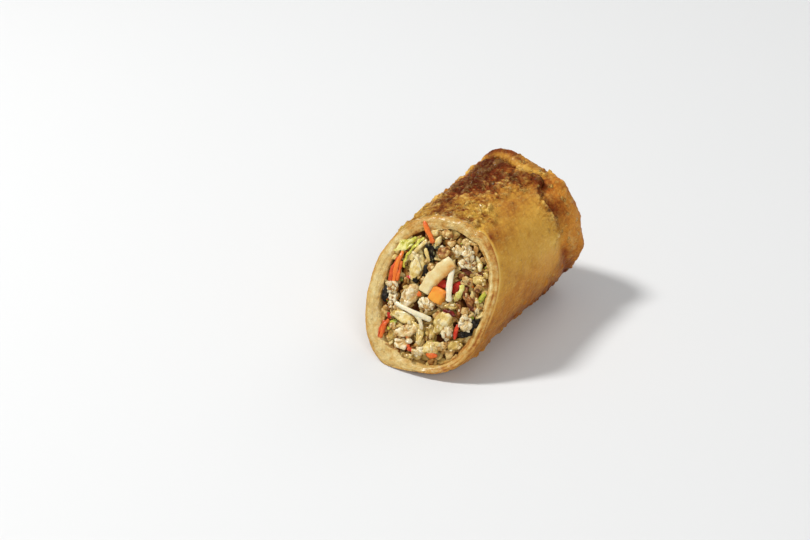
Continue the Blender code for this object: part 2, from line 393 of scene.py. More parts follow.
def ring(angle, radius, place):
    """Points round the axis, pressed flat where they would go below the rest."""
    z = np.maximum(AXIS_HEIGHT + radius * np.sin(angle), 0)
    return np.stack([radius * np.cos(angle), place + 0 * angle, z], axis=-1)


def lip_lift(angle, behind_cut):
    """How far the crust curls up under the cut."""
    off = turn_apart(np.degrees(angle), LIP_SIDE)
    return LIP_LIFT * bump(off, LIP_SPREAD) * bump(behind_cut, LIP_LENGTH)


def skin_ring(angle, length):
    """The crust's points at a skin length, which past the shoulder runs over the end to its pole."""
    over = np.clip((length - SHOULDER) / END_SKIN, 0, 1) * math.pi / 2
    share = np.maximum(np.cos(over), 0) ** (2 / END_POWER)
    depth = np.sin(over) ** (2 / END_POWER)
    place = np.minimum(length, SHOULDER) + END_DEPTH * depth - end_tuck(angle, share)
    points = ring(angle, share * skin_radius(angle, length), place)
    points[..., 2] += lip_lift(angle, length - cut_start(angle, section_radius(angle)))
    return points


def frame_shift():
    """From the middle of the cut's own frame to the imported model's, by the middles of their boxes."""
    angle = np.radians(np.linspace(-90, 270, 84, endpoint=False))
    start = cut_start(angle, section_radius(angle))
    lengths = [start + share * (SHOULDER + END_SKIN - start) for share in np.linspace(0, 1, 160)]
    points = np.concatenate([skin_ring(angle, length) for length in lengths])
    low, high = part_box("wrapper")
    middle = (np.array(low) + np.array(high)) / 2
    own_middle = (points.min(axis=0) + points.max(axis=0)) / 2
    return np.array([middle[0] - own_middle[0], middle[1] - own_middle[1], 0])


SHIFT = frame_shift()
OUTWARDS = np.array([0, -math.cos(CUT_LEAN), math.sin(CUT_LEAN)])
UP_THE_CUT = np.array([0, math.sin(CUT_LEAN), math.cos(CUT_LEAN)])
ACROSS = np.array([1, math.tan(CUT_TURN), 0])
CUT_MIDDLE = np.array([0, 0, AXIS_HEIGHT]) + SHIFT


def on_cut(spots):
    """Model points for spots in mm: across the cut, up it, and out of it."""
    spots = np.asarray(spots, dtype=float) * MM
    return CUT_MIDDLE + spots @ np.array([ACROSS, UP_THE_CUT, OUTWARDS])


# Meshes


def turned_out(points, faces):
    """The faces, turned over where they would point inwards."""
    corners = points[np.array([face[:3] for face in faces])]
    middle = points.mean(axis=0)
    volume = np.linalg.det(corners - middle).sum()
    return faces if volume > 0 else [face[::-1] for face in faces]


def grid_faces(rows, columns):
    """Quads between rings that close round, numbered ring by ring."""
    faces = []
    for row in range(rows - 1):
        for column in range(columns):
            after = (column + 1) % columns
            near, far = row * columns, (row + 1) * columns
            faces.append((near + column, near + after, far + after, far + column))
    return faces


def capped_faces(rows, columns):
    """Those quads with a fan at each end; the two tips follow the last ring."""
    faces = grid_faces(rows, columns)
    first, last = rows * columns, rows * columns + 1
    for column in range(columns):
        after = (column + 1) % columns
        faces.append((after, column, first))
        faces.append(((rows - 1) * columns + column, (rows - 1) * columns + after, last))
    return faces


def closed_grid(grid):
    """A grid's points with a tip in the middle of each end ring, and the faces that close it."""
    tips = [grid[0].mean(axis=0), grid[-1].mean(axis=0)]
    return np.vstack([grid.reshape(-1, 3), tips]), capped_faces(*grid.shape[:2])


def grid_normals(grid):
    """Outward normals of a grid of rings; the first ring is the one at the far end."""
    along = np.gradient(grid, axis=0)
    around = np.roll(grid, -1, axis=1) - np.roll(grid, 1, axis=1)
    normals = np.cross(around, along)
    return normals / np.maximum(np.linalg.norm(normals, axis=-1, keepdims=True), 1e-12)


class Batch:
    """Closed meshes gathered into one piece, with a tone from 0 to 1 for each point."""

    def __init__(self):
        self.points, self.faces, self.tones, self.count = [], [], [], 0

    def add(self, points, faces, tone):
        faces = turned_out(points, faces)
        self.faces += [tuple(index + self.count for index in face) for face in faces]
        self.points.append(points)
        self.tones.append(np.broadcast_to(tone, len(points)))
        self.count += len(points)

    def add_spots(self, spots, faces, shade):
        """Adds spots on the cut, in mm."""
        self.add(on_cut(spots), faces, np.clip(shade, 0, 1))

    def finish(self, name, settings):
        points, tones = np.concatenate(self.points), np.concatenate(self.tones)
        piece = new_object(name, points, self.faces, {"tone": tones})
        return finish_piece(piece, food_material(name, settings), "filling")


def new_object(name, points, faces, values):
    data = bpy.data.meshes.new(name)
    data.from_pydata(points.tolist(), [], faces)
    for key, numbers in values.items():
        layer = data.attributes.new(key, "FLOAT", "POINT")
        layer.data.foreach_set("value", np.asarray(numbers, dtype=np.float32).ravel())
    data.shade_smooth()
    piece = bpy.data.objects.new(name, data)
    bpy.context.scene.collection.objects.link(piece)
    return piece


def finish_piece(piece, material, node):
    """Gives a piece its material in a slot and its body, and hides the CAD node that it stands for."""
    if material is not None:
        piece.data.materials.clear()
        piece.data.materials.append(material)
    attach(piece, "root")
    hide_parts(node)
    return piece


def unit_ball(level):
    mesh = bmesh.new()
    bmesh.ops.create_icosphere(mesh, subdivisions=level, radius=1.0)
    points = np.array([vert.co for vert in mesh.verts])
    faces = [tuple(vert.index for vert in face.verts) for face in mesh.faces]
    mesh.free()
    return points, faces


def turned(spots, turn):
    """Spots on the cut turned about its normal by degrees."""
    c, s = math.cos(math.radians(turn)), math.sin(math.radians(turn))
    return spots @ np.array([[c, s, 0], [-s, c, 0], [0, 0, 1]])


def tilted(spots, tilt):
    """Spots leaned about the two directions of the cut by degrees."""
    lean = Euler((math.radians(tilt[0]), math.radians(tilt[1]), 0)).to_matrix()
    return spots @ np.array(lean).T


def chunk(place, size, turn, seed, rough=0.12, level=4, edge=9, tilt=(0, 0), boxy=False):
    """A chopped lump, in mm: a ball cut down by flat faces, whose edges are sharper with a higher edge."""
    draw = np.random.default_rng(seed)
    ball, faces = unit_ball(level)
    axes = np.array(Euler(draw.uniform(0, 0.2 if boxy else 6.3, 3)).to_matrix())
    extra = draw.normal(size=(4, 3))
    extra /= np.linalg.norm(extra, axis=1, keepdims=True)
    sides = np.vstack([axes, -axes] + ([] if boxy else [extra]))
    reach = draw.uniform(0.58, 0.86, len(sides)) if not boxy else draw.uniform(0.56, 0.62, len(sides))
    cuts = np.maximum(ball @ sides.T, 0) / reach
    radius = (1 + np.sum(cuts**edge, axis=1)) ** (-1 / edge)
    spots = ball * radius[:, None] * np.array(size) * 0.64
    bumps = rough * layered_noise(spots, 1.1, seed) + 0.6 * rough * value_noise(spots, 0.45, seed + 2)
    spots += ball * bumps[:, None]
    return turned(tilted(spots, tilt), turn) + np.array(place), faces


FLAKE_COLUMNS = 60
# How far out the rings of a flake lie, on its top and underneath
FLAKE_TOP = (0.1, 0.2, 0.3, 0.4, 0.49, 0.58, 0.66, 0.74, 0.81, 0.87, 0.92, 0.96, 1.0)
FLAKE_UNDER = (0.95, 0.85, 0.65, 0.4, 0.15)
TORN_DEPTH = 0.4


def flake(place, size, turn, seed, tilt=(0, 0), curl=0.0, ragged=0.2, corners=6, ruffle=0.45, fibres=0.14):
    """A torn flat piece, in mm: corners round its outline, curl bends it across, ruffle waves it, and fibres
    are the height of the ridges along it."""
    draw = np.random.default_rng(seed)
    long, wide, thick = size
    about = np.linspace(0, 2 * math.pi, FLAKE_COLUMNS, endpoint=False)
    sides = (np.arange(corners) + draw.uniform(-0.3, 0.3, corners)) * 2 * math.pi / corners
    reach = draw.uniform(0.8, 1.08, corners)
    facing = np.maximum(np.cos(about[:, None] - sides), 0.05) / reach
    outline = np.minimum(np.sum(facing**12, axis=1) ** (-1 / 12), 1.2)
    loop = np.stack([np.cos(about), np.sin(about), 0 * about + seed], axis=-1)
    outline *= 1 + ragged * (0.7 * value_noise(loop, 0.6, seed) + 0.5 * value_noise(loop, 0.22, seed + 1))
    share = np.array(FLAKE_TOP + FLAKE_UNDER)[:, None]
    side = np.where(np.arange(len(share)) < len(FLAKE_TOP), 1, -1)[:, None]
    x, y = share * outline * np.cos(about) * long / 2, share * outline * np.sin(about) * wide / 2
    flat = np.stack([x, y, 0 * x + 3.7 * seed], axis=-1)
    plate = side * np.clip(1 - share**6, 0, 1) ** 0.45 * thick / 2
    plate = plate * (1 + 0.4 * value_noise(flat, 1.6, seed + 3))
    crease = 0.45 * ruffle * np.abs(value_noise(flat * np.array([0.45, 1, 1]), 1.5, seed + 4))
    bend = curl * (2 * y / wide) ** 2 * wide / 4 + ruffle * layered_noise(flat, 2.6, seed + 5, 2) + crease
    lines = fibres * np.abs(value_noise(flat * np.array([0.3, 1, 1]), 0.6, seed + 6))
    z = plate + bend + (lines + 0.12 * layered_noise(flat, 0.8, seed + 7, 2)) * side
    spots, faces = closed_grid(np.stack([x, y, z], axis=-1))
    return turned(tilted(spots, tilt), turn) + np.array(place), faces


def crumbly(place, size, turn, seed, grain=1.95):
    """A cluster of minced meat: angular grains of about a size in mm stuck round a core.
    It gives (spots, faces, depth) for each, where depth is 0 at the bottom of a crevice and 1 on a tip; depth
    sets painted shade in the crevices and painted light on the tips."""
    draw = np.random.default_rng(seed)
    half = np.array(size) / 2
    spots, faces = chunk((0, 0, 0), half * 1.5, 0, seed, rough=0.25, level=3)
    parts = [(spots, faces, 0.2)]
    area = 4.2 * (half[0] * half[1] + half[0] * half[2] + half[1] * half[2])
    count = int(np.clip(1.15 * area / grain**2, 5, 30))
    for number in range(count):
        rise = 1 - 1.35 * (number + draw.random()) / count
        spin = number * 2.39996 + 0.7 * draw.random()
        level = math.sqrt(max(1 - rise * rise, 0))
        outwards = np.array([level * math.cos(spin), level * math.sin(spin), rise])
        centre = outwards * (half - 0.35 * grain) * draw.uniform(0.65, 1.1) + draw.uniform(-0.35, 0.35, 3)
        sizes = grain * draw.uniform(0.5, 1.35, 3) * draw.choice((0.6, 0.85, 1.1), p=(0.3, 0.4, 0.3))
        facing, lean = 360 * draw.random(), draw.uniform(-60, 60, 2)
        spots, faces = chunk(centre, sizes, facing, seed + 11 * number, 0.32, level=3, edge=7, tilt=lean)
        # Painted shade: each grain is lighter at its top and darker low down, and the core is darkest.
        height = ease(0.75 + (spots[:, 2] - centre[2]) / sizes.max())
        parts.append((spots, faces, (0.78 + 0.22 * draw.random()) * (0.35 + 0.65 * height)))
    return [(turned(spots, turn) + np.array(place), faces, depth) for spots, faces, depth in parts]


def smooth_path(path, step):
    """Evenly spaced spots on a smooth curve through the path's own."""
    path = np.array(path, dtype=float)
    padded = np.vstack([2 * path[0] - path[1], path, 2 * path[-1] - path[-2]])
    spots = []
    for a, b, c, d in zip(padded, padded[1:], padded[2:], padded[3:]):
        for t in np.linspace(0, 1, 12, endpoint=False):
            bend, twist = 2 * a - 5 * b + 4 * c - d, 3 * b - a - 3 * c + d
            spots.append(0.5 * (2 * b + (c - a) * t + bend * t**2 + twist * t**3))
    spots = np.array(spots + [path[-1]])
    run = np.concatenate([[0], np.cumsum(np.linalg.norm(np.diff(spots, axis=0), axis=1))])
    count = max(int(run[-1] / step), 4)
    even = np.linspace(0, run[-1], count + 1)
    return np.stack([np.interp(even, run, spots[:, axis]) for axis in range(3)], axis=1)


def sweep(path, width, thick, face=0.0, cup=0.0, ends=(0.2, 0.2), power=3.4, rough=0.16, ruffle=0.0, seed=0):
    """A strip along a path, in mm: face turns its flat about the path, cup bends it across, ends are how long
    its tips round off as shares of its width, and ruffle waves its edges."""
    spine = smooth_path(path, 0.35)
    tangent = np.gradient(spine, axis=0)
    tangent /= np.linalg.norm(tangent, axis=1, keepdims=True)
    side = np.cross(tangent, (0, 0, 1))
    side /= np.maximum(np.linalg.norm(side, axis=1, keepdims=True), 1e-9)
    flat = np.cross(side, tangent)
    run = np.concatenate([[0], np.cumsum(np.linalg.norm(np.diff(spine, axis=0), axis=1))])
    turns = np.radians(np.full((len(run), 1), float(face)))
    side, flat = side * np.cos(turns) + flat * np.sin(turns), flat * np.cos(turns) - side * np.sin(turns)
    narrow = np.ones(len(run))
    for end, distance in ((ends[0], run), (ends[1], run[-1] - run)):
        reach = max(end * width, 0.3)
        narrow *= np.sqrt(np.clip(1 - np.clip(1 - distance / reach, 0, 1) ** 2, 0.02, 1))
    widths = width * narrow * (1 + 0.22 * value_noise(spine, 2.2, seed))
    around = np.linspace(0, 2 * math.pi, 18, endpoint=False)
    x = np.sign(np.cos(around)) * np.abs(np.cos(around)) ** (2 / power)
    y = np.sign(np.sin(around)) * np.abs(np.sin(around)) ** (2 / power)
    bend = cup * x**2 * width / 2
    wave = ruffle * x**2 * np.sin(run[:, None] * 2.2 + 2 * x * (seed % 3) + seed)
    thicks = thick / 2 * np.minimum(1, narrow * 1.4)
    spots = spine[:, None] + side[:, None] * (x * widths[:, None] / 2)[..., None]
    spots = spots + flat[:, None] * (y * thicks[:, None] + bend * narrow[:, None] + wave)[..., None]
    outer = spots - spine[:, None]
    outer /= np.maximum(np.linalg.norm(outer, axis=-1, keepdims=True), 1e-9)
    spots = spots + outer * (rough * layered_noise(spots, 1.1, seed + 9))[..., None]
    spots = spots + outer * (1.2 * rough * value_noise(spots, 2.6, seed + 19))[..., None]
    return closed_grid(spots)


# Materials


def srgb(red, green, blue):
    """A linear colour from the 0 to 255 numbers of a colour picker."""
    parts = [value / 255 for value in (red, green, blue)]
    return tuple(((part + 0.055) / 1.055) ** 2.4 if part > 0.04 else part / 12.92 for part in parts)


class Nodes:
    """Short calls that add linked nodes to a tree."""

    def __init__(self, tree):
        self.tree = tree

    def add(self, kind, inputs=None, **settings):
        """A new node; its inputs are sockets or plain values, by name or number."""
        node = self.tree.nodes.new(kind)
        for key, value in settings.items():
            setattr(node, key, value)
        for key, value in (inputs or {}).items():
            self.put(value, node.inputs[key])
        return node

    def put(self, value, socket):
        if isinstance(value, bpy.types.NodeSocket):
            self.tree.links.new(value, socket)
        else:
            socket.default_value = value

    def maths(self, operation, *values, clamp=False):
        node = self.add("ShaderNodeMath", dict(enumerate(values)), operation=operation, use_clamp=clamp)
        return node.outputs[0]

    def plus(self, first, second, clamp=False):
        return self.maths("ADD", first, second, clamp=clamp)

    def times(self, first, second):
        return self.maths("MULTIPLY", first, second)

    def swing(self, value, share):
        """A noise's rise and fall about its middle, times a share."""
        return self.times(self.maths("SUBTRACT", value, 0.5), share)

    def vectors(self, operation, inputs):
        return self.add("ShaderNodeVectorMath", inputs, operation=operation).outputs[0]

    def mix(self, share, first, second, blend="MIX"):
        node = self.add("ShaderNodeMix", data_type="RGBA", blend_type=blend, clamp_factor=True)
        for name, value in (("Factor_Float", share), ("A_Color", first), ("B_Color", second)):
            socket = next(item for item in node.inputs if item.identifier == name)
            self.put((*value, 1) if isinstance(value, tuple) and len(value) == 3 else value, socket)
        return next(item for item in node.outputs if item.identifier == "Result_Color")

    def noise(self, vector, size, detail=3.0, roughness=0.55):
        """Noise from 0 to 1 whose blots are about a size across."""
        inputs = {"Vector": vector, "Scale": 1 / size, "Detail": detail, "Roughness": roughness}
        return self.add("ShaderNodeTexNoise", inputs).outputs["Fac"]

    def cells(self, vector, size):
        return self.add("ShaderNodeTexVoronoi", {"Vector": vector, "Scale": 1 / size}).outputs["Distance"]

    def ramp(self, share, stops):
        """A colour ramp: stops are (place, colour)."""
        node = self.add("ShaderNodeValToRGB", {0: share})
        elements = node.color_ramp.elements
        while len(elements) < len(stops):
            elements.new(0.5)
        for element, (place, colour) in zip(elements, stops):
            element.position = place
            element.color = (*colour, 1)
        return node.outputs[0]

    def span(self, value, low, high, new_low=0.0, new_high=1.0):
        numbers = dict(enumerate((value, low, high, new_low, new_high)))
        return self.add("ShaderNodeMapRange", numbers, clamp=True).outputs[0]

    def attribute(self, name):
        return self.add("ShaderNodeAttribute", attribute_name=name).outputs["Fac"]

    def here(self):
        return self.add("ShaderNodeTexCoord").outputs["Object"]


def new_material(name):
    material = bpy.data.materials.new(name)
    material.use_nodes = True
    surface = material.node_tree.nodes["Principled BSDF"]
    return material, Nodes(material.node_tree), surface


def set_surface(surface, values):
    for name, value in values.items():
        surface.inputs[name].default_value = value


def group_of(name, inputs, outputs, kind="ShaderNodeTree"):
    """A new node group with its sockets: {name: (kind, default)} and {name: kind}."""
    tree = bpy.data.node_groups.new(name, kind)
    for label, (socket_kind, default) in inputs.items():
        socket = tree.interface.new_socket(label, in_out="INPUT", socket_type="NodeSocket" + socket_kind)
        if default is not None:
            socket.default_value = default
    for label, socket_kind in outputs.items():
        tree.interface.new_socket(label, in_out="OUTPUT", socket_type="NodeSocket" + socket_kind)
    return tree, tree.nodes.new("NodeGroupInput"), tree.nodes.new("NodeGroupOutput")


def mottle_group():
    """Blotches of two sizes about a tone, and the fine grain that goes with them."""
    if "mottle" in bpy.data.node_groups:
        return bpy.data.node_groups["mottle"]
    inputs = {
        "Vector": ("Vector", None),
        "Tone": ("Float", 0.5),
        "Size": ("Float", 2 * MM),
        "Amount": ("Float", 0.3),
    }
    tree, entry, exit_ = group_of("mottle", inputs, {"Mask": "Float", "Grain": "Float"})
    nodes, give = Nodes(tree), entry.outputs
    scaled = nodes.vectors("SCALE", {0: give["Vector"], "Scale": nodes.maths("DIVIDE", 1.0, give["Size"])})
    blots = nodes.noise(scaled, 1.0, detail=4.0)
    specks = nodes.noise(scaled, 0.22, detail=2.0)
    off = nodes.maths("SUBTRACT", nodes.plus(blots, nodes.times(specks, 0.45)), 0.725)
    swing = nodes.times(nodes.times(off, 2.6), give["Amount"])
    nodes.put(nodes.plus(give["Tone"], swing, clamp=True), exit_.inputs["Mask"])
    nodes.put(nodes.plus(nodes.times(blots, 0.6), nodes.times(specks, 0.4)), exit_.inputs["Grain"])
    return tree


def add_mottle(nodes, tone, size, amount):
    inputs = {"Vector": nodes.here(), "Tone": tone, "Size": size, "Amount": amount}
    node = nodes.add("ShaderNodeGroup", inputs, node_tree=mottle_group())
    return node.outputs["Mask"], node.outputs["Grain"]


def add_bump(nodes, surface, height, distance):
    inputs = {"Strength": 1.0, "Distance": distance, "Height": height}
    nodes.put(nodes.add("ShaderNodeBump", inputs).outputs["Normal"], surface.inputs["Normal"])


# Each food's finish: material, roughness, blotch size in mm, blotches, coat, softness, and then its colour
# stops. A word among the stops is a colour of the settings.
FOOD_LOOKS = {
    # The core's dark stops are painted shade for the gaps between the pieces, over the mince's own colour.
    "filling_core": (
        *("packed_mince", 0.5, 2.2, 0.5, 0.0, 0.05),
        ((0.0, (56, 20, 5)), (0.4, (100, 50, 18)), (0.7, (148, 96, 42)), (1.0, (190, 152, 90))),
    ),
    "chicken": (
        *("minced_chicken", 0.42, 1.5, 0.38, 0.4, 0.12),
        ((0.0, (86, 32, 7)), (0.28, (142, 84, 30)), (0.52, (188, 145, 78)),
         (0.78, (211, 184, 128)), (1.0, "chicken")),
    ),
    "mushrooms": (
        *("mushroom_bits", 0.4, 2.0, 0.4, 0.25, 0.1),
        ((0.0, (90, 38, 12)), (0.35, (150, 94, 46)), (0.65, (186, 145, 78)), (1.0, (217, 191, 130))),
    ),
    "cabbage": (
        *("cabbage_ribs", 0.36, 1.8, 0.42, 0.4, 0.12),
        ((0.0, (108, 66, 18)), (0.3, (160, 126, 54)), (0.6, (194, 163, 88)),
         (0.85, (217, 192, 122)), (1.0, "cabbage")),
    ),
    "greens": (
        *("green_leaf_bits", 0.34, 1.8, 0.4, 0.3, 0.12),
        ((0.0, (70, 72, 26)), (0.35, (140, 146, 40)), (0.7, "greens"), (1.0, (225, 216, 140))),
    ),
    # The wood ear's pale olive top stops paint its highlights on the black.
    "wood_ear": (
        *("wood_ear_bits", 0.5, 1.3, 0.6, 0.12, 0.0),
        ((0.0, (14, 9, 5)), (0.45, (36, 26, 15)), (0.7, (92, 86, 52)), (1.0, (190, 184, 132))),
    ),
    "red_pepper": (
        *("red_pepper_bits", 0.34, 2.0, 0.25, 0.3, 0.1),
        ((0.0, (84, 22, 16)), (0.4, (164, 36, 22)), (0.75, "pepper"), (1.0, (212, 92, 48))),
    ),
    "carrot": (
        *("carrot_strips", 0.38, 2.0, 0.28, 0.22, 0.12),
        ((0.0, (170, 56, 28)), (0.35, (204, 88, 40)), (0.65, "carrot"), (1.0, (221, 150, 54))),
    ),
    "bean_sprouts": (
        *("bean_sprouts", 0.3, 2.4, 0.3, 0.35, 0.3),
        ((0.0, (184, 162, 116)), (0.5, (217, 203, 164)), (1.0, "sprout")),
    ),
    "bamboo_shoot": (
        *("bamboo_shoot", 0.4, 1.8, 0.3, 0.2, 0.15),
        ((0.0, (196, 138, 66)), (0.3, (208, 174, 110)), (0.6, (215, 195, 140)), (1.0, (228, 218, 180))),
    ),
    "loose_crumbs": (
        *("loose_crumbs_looks", 0.4, 1.4, 0.3, 0.15, 0.12),
        ((0.0, (126, 70, 22)), (0.3, (190, 150, 84)), (0.6, (214, 191, 138)), (1.0, (228, 215, 178))),
    ),
    # The mince crumbs and cabbage shreds lie in the gaps; their darker stops are painted shade there.
    "mince_crumbs": (
        *("mince_crumbs_looks", 0.4, 1.4, 0.3, 0.15, 0.12),
        ((0.0, (80, 30, 7)), (0.3, (138, 84, 32)), (0.6, (188, 146, 78)), (1.0, (220, 195, 133))),
    ),
    "cabbage_shreds": (
        *("cabbage_shreds_looks", 0.4, 1.4, 0.3, 0.15, 0.12),
        ((0.0, (118, 76, 25)), (0.4, (164, 132, 68)), (0.7, (200, 172, 104)), (1.0, (226, 204, 146))),
    ),
    "carrot_flecks": (
        *("carrot_flecks_looks", 0.4, 1.4, 0.3, 0.15, 0.12),
        ((0.0, (193, 57, 24)), (0.5, (227, 105, 31)), (1.0, (236, 149, 57))),
    ),
    "green_flecks": (
        *("green_flecks_looks", 0.4, 1.4, 0.3, 0.15, 0.12),
        ((0.0, (69, 73, 23)), (0.5, (148, 151, 45)), (1.0, (203, 201, 78))),
    ),
}
FOOD_RELIEF = 0.12 * MM


def food_material(piece, settings):
    """A moist food: a ramp over its tone, with blotches and fine relief."""
    name, rough, size, amount, coat, soft, stops = FOOD_LOOKS[piece]

    def colour(hue):
        return tuple(getattr(settings, hue)) if isinstance(hue, str) else srgb(*hue)

    material, nodes, surface = new_material(name)
    mask, grain = add_mottle(nodes, nodes.attribute("tone"), size * MM, amount)
    tint = nodes.ramp(mask, [(at, colour(hue)) for at, hue in stops])
    nodes.put(tint, surface.inputs["Base Color"])
    nodes.put(nodes.span(grain, 0.3, 0.7, rough - 0.1, rough + 0.12), surface.inputs["Roughness"])
    finish = {
        "Coat Weight": coat,
        "Coat Roughness": 0.15,
        "Specular IOR Level": 0.15,
        "Subsurface Weight": soft,
        "Subsurface Radius": (1.0, 0.6, 0.35),
        "Subsurface Scale": 1.2 * MM,
    }
    set_surface(surface, finish)
    add_bump(nodes, surface, grain, FOOD_RELIEF)
    return material


BEAD_SIZE = 1.9 * MM
ORANGE_TINT = (1.0, 0.78, 0.7)
OLIVE_TINT = (0.88, 1.0, 1.0)


def add_beads(nodes, share):
    """Small uneven beads of fried dough, in patches."""
    inputs = {"Vector": ("Vector", None), "Share": ("Float", 0.5)}
    tree, entry, exit_ = group_of("fried_beads", inputs, {"Beads": "Float", "Patches": "Float"})
    inner, vector = Nodes(tree), entry.outputs["Vector"]
    bend = inner.add("ShaderNodeTexNoise", {"Vector": vector, "Scale": 1 / (1.6 * MM)})
    off = inner.vectors("SUBTRACT", {0: bend.outputs["Color"], 1: (0.5, 0.5, 0.5)})
    moved = inner.vectors("MULTIPLY_ADD", {0: off, 1: (1.3 * BEAD_SIZE,) * 3, 2: vector})
    near = inner.cells(moved, BEAD_SIZE)
    patches = inner.noise(vector, 2.6 * MM)
    limit = inner.span(entry.outputs["Share"], 0.0, 1.0, 0.66, 0.44)
    inside = inner.maths("MULTIPLY", inner.maths("SUBTRACT", patches, limit), 9.0, clamp=True)
    inner.put(inner.times(inner.span(near, 0.1, 0.52, 1.0, 0.0), inside), exit_.inputs["Beads"])
    inner.put(inside, exit_.inputs["Patches"])
    node = nodes.add("ShaderNodeGroup", {"Vector": nodes.here(), "Share": share}, node_tree=tree)
    return node.outputs["Beads"], node.outputs["Patches"]


def crust_material(settings):
    """Fried dough: browning in patches with painted shade among it, paler on blister tips with painted
    glints, painted shade in pits, and bare dough at the cut.
    """
    material, nodes, surface = new_material("fried_dough_looks")
    here, cut = nodes.here(), nodes.attribute("cut")
    blots = nodes.noise(here, 5 * MM, detail=6.0, roughness=0.62)
    specks = nodes.noise(here, 1.1 * MM)
    fine = nodes.noise(here, 0.28 * MM, detail=2.0)
    rough_zone = nodes.span(nodes.attribute("bubbly"), 0.0, 1.0, 0.2, 0.95)
    beads, patches = add_beads(nodes, rough_zone)
    along = nodes.vectors("MULTIPLY", {0: here, 1: (1.0, 0.4, 1.0)})
    streaks = nodes.noise(along, 1.3 * MM, detail=4.0, roughness=0.65)
    swing = nodes.plus(nodes.swing(blots, 0.46), nodes.swing(streaks, 0.62))
    swing = nodes.plus(swing, nodes.swing(specks, nodes.times(rough_zone, 0.6)))
    swing = nodes.plus(swing, nodes.times(patches, 0.08))
    browned = nodes.plus(nodes.attribute("browned"), swing, clamp=True)
    tones = (settings.palest, settings.pale, settings.golden, settings.brown, settings.dark, settings.darkest)
    crust = nodes.ramp(browned, list(zip((0.0, 0.22, 0.42, 0.60, 0.80, 1.0), map(tuple, tones))))
    warmth = nodes.attribute("warmth")
    crust = nodes.mix(nodes.span(warmth, 0.5, 1.0), crust, ORANGE_TINT, blend="MULTIPLY")
    crust = nodes.mix(nodes.span(warmth, 0.0, 0.5, 1.0, 0.0), crust, OLIVE_TINT, blend="MULTIPLY")
    # Paler blister tips: partly the dough's own colour, partly painted glints; the streaks add painted glints
    # on the smooth side.
    tip = nodes.times(nodes.attribute("tip"), nodes.span(fine, 0.35, 0.6, 0.3, 0.8))
    tip = nodes.maths("MAXIMUM", tip, nodes.times(beads, 0.9))
    tip = nodes.maths("MAXIMUM", tip, nodes.span(streaks, 0.54, 0.66, 0.0, 0.42))
    tip = nodes.times(tip, nodes.span(browned, 0.6, 0.9, 1.0, 0.2))
    crust = nodes.mix(tip, crust, tuple(settings.blister_tip))
    # Painted shade: the dark crust colour laid into the pits between blisters.
    pit = nodes.times(nodes.attribute("pit"), nodes.span(specks, 0.35, 0.65, 0.3, 0.85))
    crust = nodes.mix(pit, crust, tuple(settings.dark))
    dough_mask, _ = add_mottle(nodes, nodes.attribute("dough_tone"), 2.2 * MM, 0.35)
    dough_stops = (
        (0.0, srgb(150, 90, 38)),
        (0.25, srgb(186, 138, 68)),
        (0.5, tuple(settings.dough)),
        (0.78, srgb(214, 190, 130)),
        (1.0, srgb(228, 212, 164)),
    )
    nodes.put(nodes.mix(cut, crust, nodes.ramp(dough_mask, dough_stops)), surface.inputs["Base Color"])
    nodes.put(nodes.span(nodes.plus(fine, cut), 0.3, 1.4, 0.34, 0.55), surface.inputs["Roughness"])
    oily = nodes.maths("MAXIMUM", nodes.attribute("tip"), nodes.times(beads, 1.2), clamp=True)
    oily = nodes.times(oily, nodes.span(browned, 0.6, 0.95, 1.0, 0.3))
    wet = nodes.times(cut, nodes.span(specks, 0.46, 0.6, 0.1, 0.9))
    coat = nodes.span(nodes.maths("MAXIMUM", oily, wet), 0.0, 1.0, 0.0, 0.6)
    nodes.put(coat, surface.inputs["Coat Weight"])
    finish = {
        "Coat Roughness": 0.26,
        "Specular IOR Level": 0.05,
        "Subsurface Weight": 0.04,
        "Subsurface Radius": (1.0, 0.5, 0.2),
        "Subsurface Scale": 1.5 * MM,
    }
    set_surface(surface, finish)
    height = nodes.plus(nodes.times(specks, 0.7), nodes.times(fine, 0.3))
    roughened = nodes.maths("MAXIMUM", nodes.attribute("bubbly"), cut)
    height = nodes.times(height, nodes.span(roughened, 0.0, 1.0, 0.6, 1.3))
    add_bump(nodes, surface, nodes.plus(height, nodes.times(beads, 1.4)), 0.6 * MM)
    return material


# The wrapper


def crowded_angles():
    """Angles all round, closest together on the side that shows most."""
    even = np.linspace(-math.pi, math.pi, COLUMNS, endpoint=False)
    apart = even - SHOWN_CROWDING * np.sin(even)
    return np.radians(SHOWN_SIDE) + apart


def crust_lengths(angle):
    """Skin lengths of the crust's rings, from the cut to beside the pole."""
    start = cut_start(angle, section_radius(angle))
    fold = fold_length(np.degrees(angle))
    body = [start + share * (fold - FOLD_AHEAD - start) for share in np.linspace(0, 1, BODY_RINGS)]
    folds = [fold + past for past in np.linspace(-FOLD_AHEAD, FOLD_PAST, FOLD_RINGS)[1:]]
    pole = SHOULDER + END_SKIN
    rest = np.linspace(0, 1, END_RINGS + 1)[1:-1]
    return np.array(body + folds + [folds[-1] + share * (pole - folds[-1]) for share in rest])


def bubbly_share(turn, length, points):
    """How blistered the crust is, from 0 on the smooth side to 1 on top."""
    turn = turn + 9 * layered_noise(points, 7 * MM, 51)
    millimetres = length / MM
    limit = np.interp(millimetres, (12, 20, 27, 33, 40, 50), (63, 64, 71, 72, 68, 62))
    top = ease((turn - limit) / 9 + 0.5) * ease((168 - turn) / 35)
    left = 0.32 * within(turn, (150, 250), 20)
    under = 0.35 * within(turn, (-90, -38), 12)
    past = (length - fold_length(turn)) / MM
    end = (0.6 - 0.2 * within(turn, (-30, 66), 12)) * ease(past / 3) * (1 - 0.6 * within(turn, (80, 140), 15))
    top = top * (1 - 0.65 * ease(past / 2) * within(turn, (80, 140), 15))
    ridge = within(turn, (14, 64), 10) * bump(past + 2.5, 3.6)
    return np.clip(np.maximum.reduce([top, left, under, end, 0.95 * ridge]), 0, 1)


